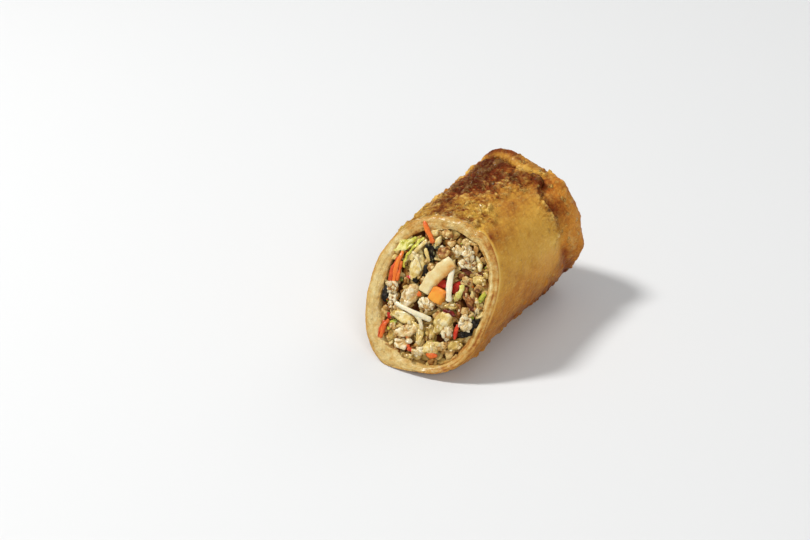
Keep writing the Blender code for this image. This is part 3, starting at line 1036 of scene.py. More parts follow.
def crust_browning(turn, length):
    """Slow changes of the crust's browning, with painted shade in the crease and the valley and, from the
    table, on top where the roll's other half lay.
    """
    amount = np.full(turn.shape, BROWNING_BASE)
    for side, place, spread, reach, more in BROWNING:
        amount += more * bump(turn_apart(turn, side), spread) * bump(length - place * MM, reach * MM)
    past = length - fold_length(turn)
    # Darker in the crease and the valley: partly browning, partly painted shade in these hollows.
    amount += 0.30 * within(turn, CREASE_SPAN, SPAN_SOFT) * bump(past + 0.1 * MM, 1.2 * MM)
    amount += 0.08 * within(turn, VALLEY_SPAN, SPAN_SOFT) * bump(past, 2.6 * MM)
    amount -= 0.34 * within(turn, (66, 132), 6) * bump(past - 1.5 * MM, 0.7 * MM)
    return amount


def crust_warmth(turn, length):
    """How orange the crust is: 0 where it is olive, 0.5 between and 1 where it is orange."""
    millimetres = length / MM
    far_end = within(turn, (-50, 52), 14) * ease((millimetres - 46) / 6)
    low_side = 0.55 * within(turn, (-60, 2), 16)
    # The dark zone on top, partly painted shadow of the roll's other half, is made more orange.
    dark_zone = 0.55 * within(turn, (94, 130), 10) * within(millimetres, (28, 46), 6)
    olive = within(turn, (72, 150), 18) * within(millimetres, (6, 24), 7)
    return 0.5 + 0.5 * np.clip(far_end + low_side + dark_zone, 0, 1) - 0.5 * olive


def crust_relief(turn, length, points):
    """(height, tip, pit, bubbly) of the crust's blisters and wrinkles."""
    bubbly = bubbly_share(turn, length, points)
    bent = warped(points, 2.6 * MM, 0.8 * MM, 40)
    packed = 0.6 * puffs(bent, 3.0 * MM, 51) + 0.4 * puffs(bent, 1.5 * MM, 53)
    large = blebs(bent, 4.2 * MM, 11, 0.12 + 0.35 * bubbly)
    middling = blebs(bent, 2.5 * MM, 12, 0.1 + 0.45 * bubbly)
    blistered = 1.7 * packed + 0.7 * large + 0.7 * middling
    height = BLISTER_HEIGHT * blistered * (0.1 + 0.9 * bubbly)
    tip = np.maximum(ease((packed - 0.34) / 0.2), ease((np.maximum(large, middling) - 0.4) / 0.35)) * bubbly
    # Painted shade: where the pits between blisters are darkened.
    pit = ease((0.13 - packed) / 0.12) * bubbly
    height += 0.22 * MM * layered_noise(points, 5 * MM, 62)
    ragged = within(turn, (-58, -22), 10)
    height += 0.7 * MM * ragged * blebs(bent, 2.8 * MM, 65, 0.55)
    height += 0.06 * MM * layered_noise(points * np.array([1, 0.35, 1]), 1.2 * MM, 63)
    past = length - fold_length(turn)
    height += 0.45 * MM * within(turn, (66, 132), 6) * bump(past - 1.5 * MM, 0.5 * MM)
    off_rest = ease(points[..., 2] / (3 * MM))
    return height * (0.15 + 0.85 * off_rest), tip, pit, bubbly


def inner_radius(angle):
    """The hollow's uneven edge at the cut."""
    plain = cup_radius(angle)
    loop = ring(angle, plain, 0 * angle)
    return plain + MM * (0.6 * value_noise(loop, 6 * MM, 83) + 0.35 * value_noise(loop, 2 * MM, 84) - 0.35)


def rim_grid(angle):
    """The cut face's rings from the crust inwards, with the lines between the turns of dough."""
    outer = skin_radius(angle, cut_start(angle, section_radius(angle)))
    inner = inner_radius(angle)
    shares = np.linspace(0, 1, RIM_RINGS + 1)[1:] ** 1.1
    rings, tones, depths = [], [], []
    wall = outer - inner
    side = (np.degrees(angle) + 90) % 360 - 90
    left, top = within(side, (150, 225), 30), within(side, (70, 120), 25)
    right, below = within(side, (-60, 50), 20), within(side, (250, 275), 30) + within(side, (-95, -75), 20)
    for share in shares:
        radius = outer + share * (inner - outer)
        points = ring(angle, radius, cut_start(angle, radius))
        points[..., 2] += (1 - share) * lip_lift(angle, 0)
        wander = 0.3 * value_noise(points, 6 * MM, 71) + 0.08 * value_noise(points, 1.6 * MM, 72)
        phase = share * wall / TURN_THICK + angle / (2 * math.pi) + 0.82 + wander
        off = np.abs(phase - np.round(phase))
        shown = 0.2 + 0.5 * within(side, (130, 245), 40) + 0.5 * right
        half = ROLL_WIDTH / 2
        laid = np.stack([half * np.cos(angle), half * np.sin(angle), share * wall * SHEET_STRETCH], axis=-1)
        sheets = layered_noise(laid, 5 * MM, 76, 2) * ease(share / 0.12) * ease((1 - share) / 0.12)
        groove = bump(off, GROOVE_WIDTH) * shown * ease(1.8 * layered_noise(points, 4 * MM, 73) + 0.5)
        edges = ease(share / 0.12) * ease((1 - share) / 0.15)
        rough = 0.22 * MM * layered_noise(points, 1.3 * MM, 74) + 0.5 * MM * layered_noise(points, 5 * MM, 75)
        bulge = 0.4 * MM * math.sin(math.pi * share)
        relief = (0.15 * MM * sheets - GROOVE_DEPTH * groove) * edges
        depths.append(bulge + relief + rough * ease(share / 0.2))
        rings.append(points)
        tone = 0.5 + 0.14 * left - 0.04 * top + 0.08 * np.clip(below, 0, 1)
        tone = tone - 0.24 * bump(share, 0.16)
        tone = tone - 0.3 * within(side, (128, 190), 15) * ease((share - 0.72) / 0.2)
        tone = tone + right * (0.3 * bump(share - 0.7, 0.15) - 0.12 * bump(share - 0.38, 0.1) - 0.16)
        tone = tone + (0.1 + 0.2 * right + 0.06 * top) * sheets - 0.12 * groove * edges
        tone = tone + 0.14 * layered_noise(points, 4.5 * MM, 77)
        tone = tone - 0.14 * within(side, (-70, -20), 20)
        tones.append(tone + 0.2 * layered_noise(points, 1.3 * MM, 78))
    return np.array(rings), np.array(tones), np.array(depths)


def inner_grid(angle):
    """The hollow's wall, from the cut's inner edge to its end."""
    radius, edge = cup_radius(angle), inner_radius(angle)
    start = cut_start(angle, edge)
    shoulder = HALF_LENGTH - END_WALL - CUP_DEPTH
    rings = []
    for share in (0.02, 0.05, 0.1, 0.3, 0.65, 1.0):
        reach = edge + ease(share / 0.3) * (radius - edge)
        rings.append(ring(angle, reach, start + share * (shoulder - start)))
    for over in np.linspace(0, math.pi / 2, INNER_RINGS - 4)[1:-1]:
        rings.append(ring(angle, math.cos(over) * radius, shoulder + math.sin(over) * CUP_DEPTH))
    return np.array(rings)


def build_wrapper(settings):
    """The whole wrapper as one closed skin: end, crust, cut and hollow."""
    angle = crowded_angles()
    lengths = crust_lengths(angle)[::-1]
    turn = (np.degrees(angle) + 90) % 360 - 90
    turns = np.broadcast_to(turn, lengths.shape)
    angles = np.radians(turns)
    crust = skin_ring(angles, lengths)
    rim, rim_tone, rim_depth = rim_grid(angle)
    inner = inner_grid(angle)
    grid = np.concatenate([crust, rim, inner])
    normals = grid_normals(grid)
    relief, tip, pit, bubbly = crust_relief(turns, lengths, crust)
    from_cut = (lengths - lengths[-1]) / MM
    browned = crust_browning(turns, lengths) + 0.09 * layered_noise(crust, 9 * MM, 81)
    browned = browned + bubbly * (0.06 + 0.16 * layered_noise(crust, 3.4 * MM, 82))
    below = within(turns, (232, 275), 20) + within(turns, (-95, -45), 15)
    spots = ease(2 * layered_noise(crust, 2.6 * MM, 85)) * below
    browned = browned + (0.02 + 0.6 * spots) * bump(from_cut, 1.6)
    # Painted highlight: a paler thin line along the crust's edge at the cut on the right side.
    browned = browned - 0.5 * within(turns, (0, 58), 14) * bump(from_cut - 0.4, 0.6)
    tail = np.zeros(inner.shape[:2])
    zero = np.zeros(rim.shape[:2])
    edge = np.linspace(0, 1, RIM_RINGS)[:, None] + zero
    cut = np.concatenate([0.55 * bump(from_cut, 0.35), ease(edge / 0.14 + 0.45), tail + 1])
    relief = relief * settings.relief * (0.55 + 0.45 * ease(from_cut / 1.5))
    heights = np.concatenate([relief, rim_depth, tail])
    first = grid[0].mean(axis=0)
    last = grid[-1].mean(axis=0) + np.array([0, 0.5 * MM, 0])
    grid = grid + normals * heights[..., None]
    points = np.vstack([grid.reshape(-1, 3), first, last]) + SHIFT
    points[:, 2] = np.maximum(points[:, 2], 0)
    faces = turned_out(points, capped_faces(*grid.shape[:2]))

    def spread(*parts):
        return np.concatenate([np.concatenate(parts).ravel(), [parts[0].mean(), 0.5]])

    values = {
        "browned": spread(browned, zero + 0.5, tail + 0.3),
        "tip": spread(tip, zero, tail),
        "pit": spread(pit, zero, tail),
        "bubbly": spread(bubbly, zero, tail),
        "warmth": spread(crust_warmth(turns, lengths), zero + 0.5, tail + 0.5),
        "cut": np.concatenate([cut.ravel(), [0, 1]]),
        "dough_tone": spread(np.full(lengths.shape, 0.45), rim_tone, tail + 0.4),
    }
    piece = new_object("wrapper_looks", points, faces, values)
    return finish_piece(piece, crust_material(settings), "wrapper")


# The filling

CORE_FRONT = -2.4  # mm behind the cut
CORE_GAP = 0.3 * MM
CORE_RINGS = 46
CORE_COLUMNS = 150


def build_core(settings):
    """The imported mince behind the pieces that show, from the hollow's end to just behind the cut."""
    angle = np.radians(np.linspace(-90, 270, CORE_COLUMNS, endpoint=False))
    radius = cup_radius(angle)
    rings = []
    shoulder = HALF_LENGTH - END_WALL - CUP_DEPTH
    start = cut_start(angle, radius) - CORE_FRONT * MM
    for over in np.linspace(math.pi / 2, 0, 5)[1:-1]:
        reach = math.cos(over) * (radius - CORE_GAP)
        rings.append(ring(angle, reach, shoulder + math.sin(over) * (CUP_DEPTH - CORE_GAP)))
    for share in np.linspace(1, 0, 12) ** 1.6:
        rings.append(ring(angle, radius - 0.1 * MM, start + share * (shoulder - start)))
    for share in np.linspace(1, 0, CORE_RINGS)[1:-1]:
        x, rise = share * radius * np.cos(angle), share * radius * np.sin(angle)
        spots = np.stack([x / MM, rise / MM / math.cos(CUT_LEAN), 0 * x + CORE_FRONT], axis=-1)
        lumps = 0.9 * layered_noise(spots, 4.0, 91) + 0.9 * blebs(spots, 2.6, 92, 0.8)
        lumps = lumps + 0.4 * blebs(spots, 1.3, 93, 0.8)
        spots[..., 2] += lumps * ease((1 - share) / 0.15)
        rings.append(on_cut(spots) - SHIFT)
    grid = np.array(rings)
    tip = [0, HALF_LENGTH - END_WALL - CORE_GAP, AXIS_HEIGHT]
    points = np.vstack([grid.reshape(-1, 3), tip, grid[-1].mean(axis=0)]) + SHIFT
    faces = turned_out(points, capped_faces(*grid.shape[:2]))
    tone = 0.42 + 0.35 * layered_noise(points, 3 * MM, 94)
    piece = new_object("filling_core", points, faces, {"tone": tone})
    return finish_piece(piece, food_material("filling_core", settings), "filling")


# Clusters of minced chicken: (across, up, out, long, wide, deep, turn, tone); the clusters that lie deeper
# have a lower tone, as painted shade
CHICKEN = (
    (4.6, 16.0, 0.5, 3.2, 4.6, 3.0, 0, 0.92),
    (6.8, 17.6, 0.2, 3.0, 2.2, 2.6, 20, 0.80),
    (8.7, 15.6, 0.7, 4.0, 4.8, 3.4, 10, 1.0),
    (8.6, 12.8, 0.6, 4.8, 3.0, 3.0, -10, 1.0),
    (10.8, 13.4, 0.1, 2.8, 2.6, 2.4, 30, 0.92),
    (-13.1, -0.2, 0.7, 4.4, 4.4, 3.0, 0, 1.0),
    (-11.8, -3.4, 0.5, 3.6, 4.0, 2.8, 15, 0.98),
    (-12.2, -5.6, 0.0, 2.4, 2.2, 2.4, 0, 0.80),
    (-0.2, -2.3, 0.4, 6.2, 5.0, 2.8, 0, 0.96),
    (14.2, -4.4, 0.8, 4.2, 5.4, 3.0, 10, 0.95),
    (9.1, -8.9, 0.5, 3.6, 4.8, 3.4, 15, 0.92),
    (10.6, 7.8, -0.2, 4.2, 3.0, 2.6, 0, 0.66),
    (14.4, 6.4, -0.4, 3.0, 3.2, 2.4, 0, 0.60),
    (1.6, -17.0, 0.1, 3.6, 3.4, 2.8, 10, 0.9),
    (-2.5, -15.0, 0.5, 1.8, 1.5, 1.6, 0, 1.0),
    (-9.6, -11.6, -0.3, 3.2, 2.6, 2.4, 0, 0.52),
    (7.4, -13.6, -0.6, 4.4, 3.2, 2.6, 20, 0.6),
    (11.4, -12.0, -0.9, 3.4, 2.6, 2.4, 30, 0.45),
    (-11.9, -14.2, -0.9, 3.0, 3.2, 2.2, 0, 0.5),
    (-4.2, 4.6, -0.7, 3.0, 2.6, 2.2, 0, 0.5),
    (4.4, -1.6, -0.5, 3.4, 2.4, 2.4, 0, 0.62),
    (-2.4, 8.8, -0.8, 3.0, 3.4, 2.2, 0, 0.45),
    (12.2, -0.8, -0.7, 3.2, 2.6, 2.2, 0, 0.5),
)

# Torn slices of it: (across, up, out), (long, wide, thick), turn, tone, curl, fibres, and what else differs
SLICES = (
    ((-6.7, -1.0, 0.8), (8.4, 5.0, 2.0), 78, 0.79, -0.35, 0.35, {"tilt": (12, 0)}),
    ((-3.9, -11.8, 0.7), (7.8, 4.4, 1.8), 22, 0.78, -0.3, 0.3, {"tilt": (-14, 6)}),
    ((-5.0, -16.2, 0.3), (5.6, 3.6, 1.5), -12, 0.84, -0.2, 0.2),
    ((1.8, 17.8, 0.1), (2.8, 2.2, 1.6), 20, 0.58, 0.0, 0.2),
    ((-9.2, -5.6, 0.0), (4.6, 3.0, 1.5), 10, 0.62, 0.0, 0.2, {"tilt": (20, 0)}),
    ((4.0, -4.6, 0.1), (3.4, 2.6, 1.6), 60, 0.72, 0.0, 0.25),
    ((12.9, 10.2, -0.5), (3.2, 2.4, 1.4), 0, 0.5, 0.0, 0.2),
)

# Mushroom: the same
MUSHROOM = (
    ((0.3, 14.4, 0.4), (4.8, 4.4, 2.4), 60, 0.5, -0.3, 0.14, {"corners": 7}),
    ((-0.6, 20.0, 0.4), (3.8, 2.6, 1.4), 10, 0.66, -0.7, 0.14, {"tilt": (25, 0)}),
    ((12.0, 3.2, -0.1), (6.2, 1.9, 1.6), -32, 0.26, 0.0, 0.3, {"corners": 5}),
    ((13.4, 1.3, -0.2), (6.0, 1.7, 1.5), -44, 0.24, 0.0, 0.3, {"corners": 5}),
    ((15.0, 1.4, -0.5), (4.6, 1.6, 1.4), -58, 0.3, 0.0, 0.3, {"corners": 5}),
    ((10.0, -0.9, -0.3), (4.6, 2.0, 1.6), -58, 0.3, 0.0, 0.3, {"corners": 5}),
    ((8.0, 8.9, -0.2), (3.4, 2.0, 1.4), -10, 0.1, 0.0, 0.2),
    ((10.0, 10.5, 0.2), (4.8, 1.8, 1.5), -6, 0.0, 0.0, 0.2),
    ((14.0, 11.2, -0.1), (3.2, 1.7, 1.3), 30, 0.0, 0.0, 0.14),
    ((10.0, 5.2, -0.5), (3.4, 2.2, 1.4), 30, 0.2, 0.0, 0.2),
    ((-6.4, -13.9, -0.4), (4.4, 2.4, 1.6), 10, 0.3, 0.0, 0.14),
)


def add_flakes(batch, flakes, first_seed):
    """Torn pieces with painted light on their raised middles and painted shade on their undersides and in
    their cracks.
    """
    for number, (place, size, turn, tone, curl, fibres, *more) in enumerate(flakes):
        others = more[0] if more else {}
        seed = first_seed + 7 * number
        spots, faces = flake(place, size, turn, seed, curl=curl, fibres=fibres, **others)
        depth = (spots[:, 2] - place[2]) / size[2]
        # The cracks are sunk, and they are also darkened as painted shade.
        torn = bump(value_noise(spots, 2.2, first_seed + 3 * number), 0.2)
        spots[:, 2] -= TORN_DEPTH * torn
        # Painted shade: darker on the underside and in the cracks, painted light on the raised middle.
        shade = tone + 0.22 * np.clip(depth, -1, 0.6) + 0.2 * layered_noise(spots, 1.4, first_seed + number)
        batch.add_spots(spots, faces, shade - 0.38 * torn)


def build_chicken(settings):
    batch = Batch()
    for seed, (across, up, out, long, wide, deep, turn, tone) in enumerate(CHICKEN):
        for spots, faces, depth in crumbly((across, up, out), (long, wide, deep), turn, 101 + 50 * seed):
            # Painted shade: darker in the crevices, lighter on the tips.
            shade = tone * (0.25 + 0.8 * depth) + 0.22 * layered_noise(spots, 1.2, 130 + seed)
            batch.add_spots(spots, faces, shade)
    add_flakes(batch, SLICES, 251)
    return batch.finish("chicken", settings)


CABBAGE = (
    ((-7.8, 9.2, 0.2), (10.8, 4.6, 1.4), 96, 0.86, -0.45, 0.25, {"tilt": (0, 5)}),
    ((6.7, -6.3, 0.6), (7.2, 5.8, 1.6), 58, 0.8, -0.3, 0.2, {"tilt": (8, -8), "corners": 5}),
    ((0.4, -12.0, 0.7), (6.8, 2.2, 1.0), 98, 0.8, -0.4, 0.2),
    ((3.6, -11.0, 0.3), (6.2, 3.6, 1.1), 100, 0.4, -0.35, 0.3),
    ((-6.2, -8.0, 0.7), (8.6, 3.6, 1.2), -8, 0.76, -0.35, 0.25, {"tilt": (-12, 0)}),
    ((4.9, -14.9, 0.5), (6.4, 4.2, 1.5), 24, 0.84, -0.3, 0.2, {"corners": 5}),
    ((12.4, -11.9, 0.1), (5.2, 3.2, 1.2), 34, 0.55, -0.3, 0.2),
    ((14.3, 8.9, 0.4), (4.2, 3.2, 1.5), 12, 0.5, -0.3, 0.14),
    ((12.5, 14.0, 0.1), (5.0, 1.7, 1.0), -58, 0.86, -0.5, 0.14),
    ((12.8, 12.1, -0.2), (2.8, 2.2, 1.2), 0, 0.28, 0.0, 0.14),
    ((7.7, -0.8, 0.5), (5.2, 2.0, 1.2), 14, 0.42, -0.3, 0.14),
    ((8.5, 2.5, 0.5), (3.6, 2.4, 1.0), 70, 0.6, -0.4, 0.14),
    ((-2.6, 17.2, 0.6), (3.6, 2.0, 1.4), 75, 0.82, -0.3, 0.14),
    ((-4.9, 19.2, 0.1), (3.2, 2.2, 1.0), 40, 0.8, -0.3, 0.14),
    ((-8.9, -14.3, -0.3), (4.4, 2.8, 1.2), 60, 0.5, -0.3, 0.2),
    ((-1.2, -19.2, -0.2), (5.4, 2.0, 1.1), 4, 0.55, -0.3, 0.14),
    ((0.6, 9.2, -0.5), (3.4, 2.6, 1.1), 60, 0.3, -0.3, 0.14),
    ((-10.4, -8.2, 0.0), (3.2, 1.8, 0.9), 40, 0.4, -0.3, 0.14),
    ((10.8, 10.4, -0.4), (3.4, 2.2, 1.0), -30, 0.7, -0.3, 0.14),
    ((15.4, 11.6, -0.5), (3.0, 1.8, 1.0), -70, 0.55, -0.3, 0.14),
    ((16.2, 7.4, -0.5), (3.2, 1.8, 1.0), -80, 0.5, -0.3, 0.14),
    ((-15.6, 9.8, -0.3), (4.4, 1.9, 1.0), 82, 0.55, -0.3, 0.14),
    ((-10.2, 15.9, -0.4), (4.8, 2.0, 1.0), 50, 0.45, -0.3, 0.14),
    ((13.4, -10.2, -0.6), (3.6, 2.0, 1.0), 40, 0.4, -0.3, 0.14),
)
# Narrow shreds: (path of (across, up, out), width, thick, tone, settings)
CABBAGE_SHREDS = (
    (((-9.2, 12.4, 0.8), (-7.2, 9.6, 1.1), (-5.2, 7.0, 0.7)), 0.9, 0.7, 1.0, {}),
    (((-9.8, 9.2, 0.8), (-8.9, 12.6, 1.1), (-6.4, 16.8, 0.8)), 1.5, 0.6, 0.82, {"face": 20, "cup": -0.2}),
    (((-6.2, 14.2, 0.6), (-4.8, 12.4, 0.9), (-3.4, 10.4, 0.5)), 1.0, 0.6, 0.7, {}),
    (((-2.8, -8.9, 0.6), (-1.6, -9.6, 0.8), (-0.8, -11.0, 0.5)), 1.2, 0.6, 0.75, {}),
    (((9.4, 5.6, 0.3), (10.6, 4.4, 0.3), (11.0, 2.8, 0.1)), 0.9, 0.6, 0.6, {}),
    (((14.6, 4.0, 0.0), (15.8, 2.4, 0.1), (16.4, 0.4, -0.3)), 1.0, 0.6, 0.6, {}),
)

GREENS = (
    ((-13.6, 13.0, 0.3), (5.6, 3.6, 0.6), 36, 0.95, -0.3, 0.14, {"ruffle": 0.8, "ragged": 0.4}),
    ((-11.4, 15.2, 0.4), (3.4, 1.8, 0.6), 46, 0.75, -0.3, 0.14, {"ruffle": 0.6, "ragged": 0.4}),
    ((16.5, 4.2, 0.3), (4.6, 1.8, 0.6), 68, 0.48, -0.4, 0.14),
    ((-9.5, -10.6, 0.4), (2.4, 1.6, 0.5), 30, 0.45, 0.0, 0.14, {"ruffle": 0.5, "ragged": 0.3}),
    ((-10.6, -12.6, 0.1), (1.8, 1.2, 0.5), 80, 0.7, 0.0, 0.14, {"ruffle": 0.5}),
    ((4.6, -13.4, 0.1), (2.6, 1.6, 0.5), 60, 0.3, 0.0, 0.14, {"ruffle": 0.5}),
    ((15.6, -2.6, 0.9), (1.6, 1.0, 0.4), 40, 0.4, 0.0, 0.14, {"ruffle": 0.4}),
)
LEAF_EDGES = (
    (
        ((-11.6, 6.4, 0.4), (-11.6, 9.2, 0.7), (-10.4, 12.6, 0.9), (-7.6, 17.4, 0.6)),
        *(1.7, 0.5, 0.66, {"face": 40, "ruffle": 0.3}),
    ),
    (((9.3, 6.6, 0.5), (9.9, 4.6, 0.9), (8.5, 1.2, 0.6)), 1.5, 0.6, 0.9, {"face": 30, "cup": -0.3}),
    (((-11.4, 3.6, 0.0), (-10.8, 2.2, 0.1)), 1.1, 0.6, 0.2, {}),
)

WOOD_EAR = (
    ((-4.1, 13.0, 0.5), (6.6, 3.4, 0.9), -62, 0.42, 0.5, 0.14, {"ruffle": 1.0, "ragged": 0.35}),
    ((-2.6, 15.3, 0.3), (3.4, 1.6, 0.7), -35, 0.5, 0.0, 0.14, {"ruffle": 0.8, "ragged": 0.3}),
    ((-15.0, -2.5, 0.0), (6.0, 2.2, 0.9), 92, 0.12, 0.0, 0.14, {"ruffle": 0.7, "ragged": 0.3}),
    ((-6.5, 3.7, 0.3), (2.4, 1.5, 0.8), -25, 0.1, 0.0, 0.14, {"ruffle": 0.5}),
    ((17.0, -4.2, 0.0), (6.6, 2.6, 0.9), 84, 0.25, 0.5, 0.14, {"ruffle": 0.9, "ragged": 0.3}),
    ((14.4, -8.1, 0.0), (5.6, 2.2, 0.9), 24, 0.15, 0.4, 0.14, {"ruffle": 0.8, "ragged": 0.3}),
    ((12.2, -6.2, 0.2), (2.6, 1.4, 0.7), 60, 0.2, 0.0, 0.14, {"ruffle": 0.6}),
)
WOOD_EAR_EDGES = ((((-4.6, 9.4, 0.0), (-4.2, 7.6, 0.2), (-3.8, 5.6, -0.1)), 1.3, 0.7, 0.15, {"ruffle": 0.3}),)

RED_PEPPER = (
    ((2.9, 4.8, 0.2), (4.6, 2.6, 2.0), 8, 0.6),
    ((7.5, 5.3, 0.0), (2.8, 4.0, 2.0), 0, 0.4),
    ((8.0, -2.9, 0.9), (4.2, 1.9, 1.4), -4, 0.02),
    ((-8.6, 4.2, 0.3), (2.2, 1.1, 1.0), -10, 0.55),
    ((11.9, -7.8, 0.6), (1.4, 4.4, 1.2), 4, 0.8),
    ((-11.6, -8.9, 0.3), (1.5, 2.3, 1.0), 24, 0.5),
    ((-1.3, -17.2, 0.4), (2.8, 1.2, 1.0), -12, 0.9),
    ((-2.2, -16.4, 0.3), (1.2, 1.2, 0.8), 30, 0.85),
)

CARROT = (
    (
        ((-8.9, 22.2, 1.2), (-7.1, 20.0, 1.5), (-5.1, 18.0, 1.3), (-4.0, 16.2, 0.8)),
        *(1.4, 0.8, 0.55, {"ends": (2.8, 0.4), "rough": 0.25}),
    ),
    (((-13.2, 11.4, 0.5), (-13.7, 6.6, 0.9), (-13.2, 1.2, 0.5)), 1.3, 0.9, 0.62, {"rough": 0.3}),
    (((-14.3, 9.4, 0.1), (-14.9, 5.0, 0.3), (-14.4, 0.8, 0.1)), 1.1, 0.8, 0.25, {"rough": 0.3}),
    (((-12.6, 8.4, 0.6), (-12.4, 5.4, 0.8), (-12.2, 1.8, 0.5)), 0.9, 0.7, 0.45, {"rough": 0.25}),
    (((-15.6, 6.2, 0.0), (-15.5, 3.4, 0.0), (-15.0, 1.2, 0.0)), 0.9, 0.7, 0.1, {}),
    (((-11.2, -10.0, 0.4), (-12.1, -12.8, 0.7), (-12.2, -16.6, 0.3)), 1.1, 0.8, 0.42, {"rough": 0.25}),
    (((-12.2, -10.9, 0.3), (-13.1, -13.8, 0.4), (-13.2, -17.0, 0.1)), 1.0, 0.8, 0.28, {"rough": 0.25}),
    (((-3.8, -14.0, 0.8), (-2.6, -13.2, 0.8)), 1.0, 0.7, 0.5, {}),
    (((-4.6, 0.4, 0.5), (-3.0, -0.4, 0.4)), 1.4, 0.9, 0.5, {}),
)
CARROT_CHUNKS = (
    ((2.8, 1.2, 0.6), (6.0, 6.2, 4.2), -8, 0.92),
    ((6.2, -16.9, 0.4), (3.2, 2.0, 1.6), 10, 0.5),
    ((7.1, 15.9, 0.6), (1.8, 1.6, 1.4), 20, 0.9),
)

ROUND = {"power": 2.2, "rough": 0.05, "ends": (0.4, 0.4)}
SPROUTS = (
    (((4.7, 10.8, 1.0), (5.4, 7.6, 1.7), (6.0, 4.4, 1.8), (6.9, 0.2, 1.1)), 2.0, 1.1, 0.78, ROUND),
    (((-10.6, -4.6, 1.0), (-6.3, -5.4, 1.7), (-1.7, -6.1, 1.7), (3.0, -6.6, 1.0)), 1.6, 1.1, 0.66, ROUND),
    (((-2.6, -6.2, 1.5), (-0.6, -7.4, 1.6), (0.4, -9.2, 1.3), (0.4, -10.4, 0.8)), 1.3, 0.9, 0.5, ROUND),
)

WEDGE_PATH = ((4.4, 12.6, 0.5), (1.6, 8.6, 1.3), (-1.0, 4.6, 1.3), (-2.0, 0.9, 0.8))


def strip_batch(strips, first_seed):
    batch = Batch()
    for number, (path, width, thick, tone, settings) in enumerate(strips):
        spots, faces = sweep(path, width, thick, seed=first_seed + 7 * number, **settings)
        batch.add_spots(spots, faces, tone + 0.12 * layered_noise(spots, 2.0, first_seed + number))
    return batch


def chopped_food(name, strips, strip_seed, flakes, flake_seed):
    """The builder of a food that is made of strips and torn pieces."""

    def build(settings):
        batch = strip_batch(strips, strip_seed)
        add_flakes(batch, flakes, flake_seed)
        return batch.finish(name, settings)

    return build


build_mushrooms = chopped_food("mushrooms", (), 0, MUSHROOM, 301)
build_cabbage = chopped_food("cabbage", CABBAGE_SHREDS, 401, CABBAGE, 431)
build_greens = chopped_food("greens", LEAF_EDGES, 501, GREENS, 531)
build_wood_ear = chopped_food("wood_ear", WOOD_EAR_EDGES, 601, WOOD_EAR, 631)
build_sprouts = chopped_food("bean_sprouts", SPROUTS, 801, (), 0)


def build_pepper(settings):
    batch = Batch()
    for number, (place, size, turn, tone) in enumerate(RED_PEPPER):
        spots, faces = chunk(place, size, turn, 651 + 5 * number, rough=0.14)
        batch.add_spots(spots, faces, tone + 0.1 * layered_noise(spots, 1.2, 660 + number))
    return batch.finish("red_pepper", settings)


def build_carrot(settings):
    """The strips and the chopped chunks, of which the first is boxy."""
    batch = strip_batch(CARROT, 701)
    for number, (place, size, turn, tone) in enumerate(CARROT_CHUNKS):
        spots, faces = chunk(place, size, turn, 741 + 5 * number, rough=0.16, edge=16, boxy=number == 0)
        shade = tone - 0.14 * (spots[:, 1] - place[1]) / size[1] * 2
        batch.add_spots(spots, faces, shade + 0.1 * layered_noise(spots, 1.4, 750 + number))
    return batch.finish("carrot", settings)


def build_wedge(settings):
    """The long cream wedge, more orange along its upper right edge."""
    spots, faces = sweep(WEDGE_PATH, 4.6, 2.8, seed=851, rough=0.34, power=4.6, ends=(0.1, 0.06))
    across = (spots - np.array([1.2, 6.6, 0])) @ np.array([0.89, -0.46, 0])
    orange = ease(across / 1.2) * ease((spots[:, 1] - 2.0) / 4.0)
    batch = Batch()
    batch.add_spots(spots, faces, 0.6 + 0.2 * layered_noise(spots, 1.5, 861) - 0.5 * orange)
    return batch.finish("bamboo_shoot", settings)


# What is scattered over the core: (name, count per square cm, long, wide, thick in mm, stand, seed)
CRUMBS = (
    ("mince_crumbs", 17, 3.9, 1.9, 1.3, 0.8, 21),
    ("cabbage_shreds", 9, 5.2, 2.3, 0.8, 0.8, 22),
    ("carrot_flecks", 2.2, 2.2, 0.8, 0.6, 0.5, 23),
    ("green_flecks", 3.0, 2.0, 1.0, 0.4, 0.6, 24),
    ("loose_crumbs", 11, 1.3, 0.9, 0.7, 0.5, 25),
)

HALF_TURN = 3.1416


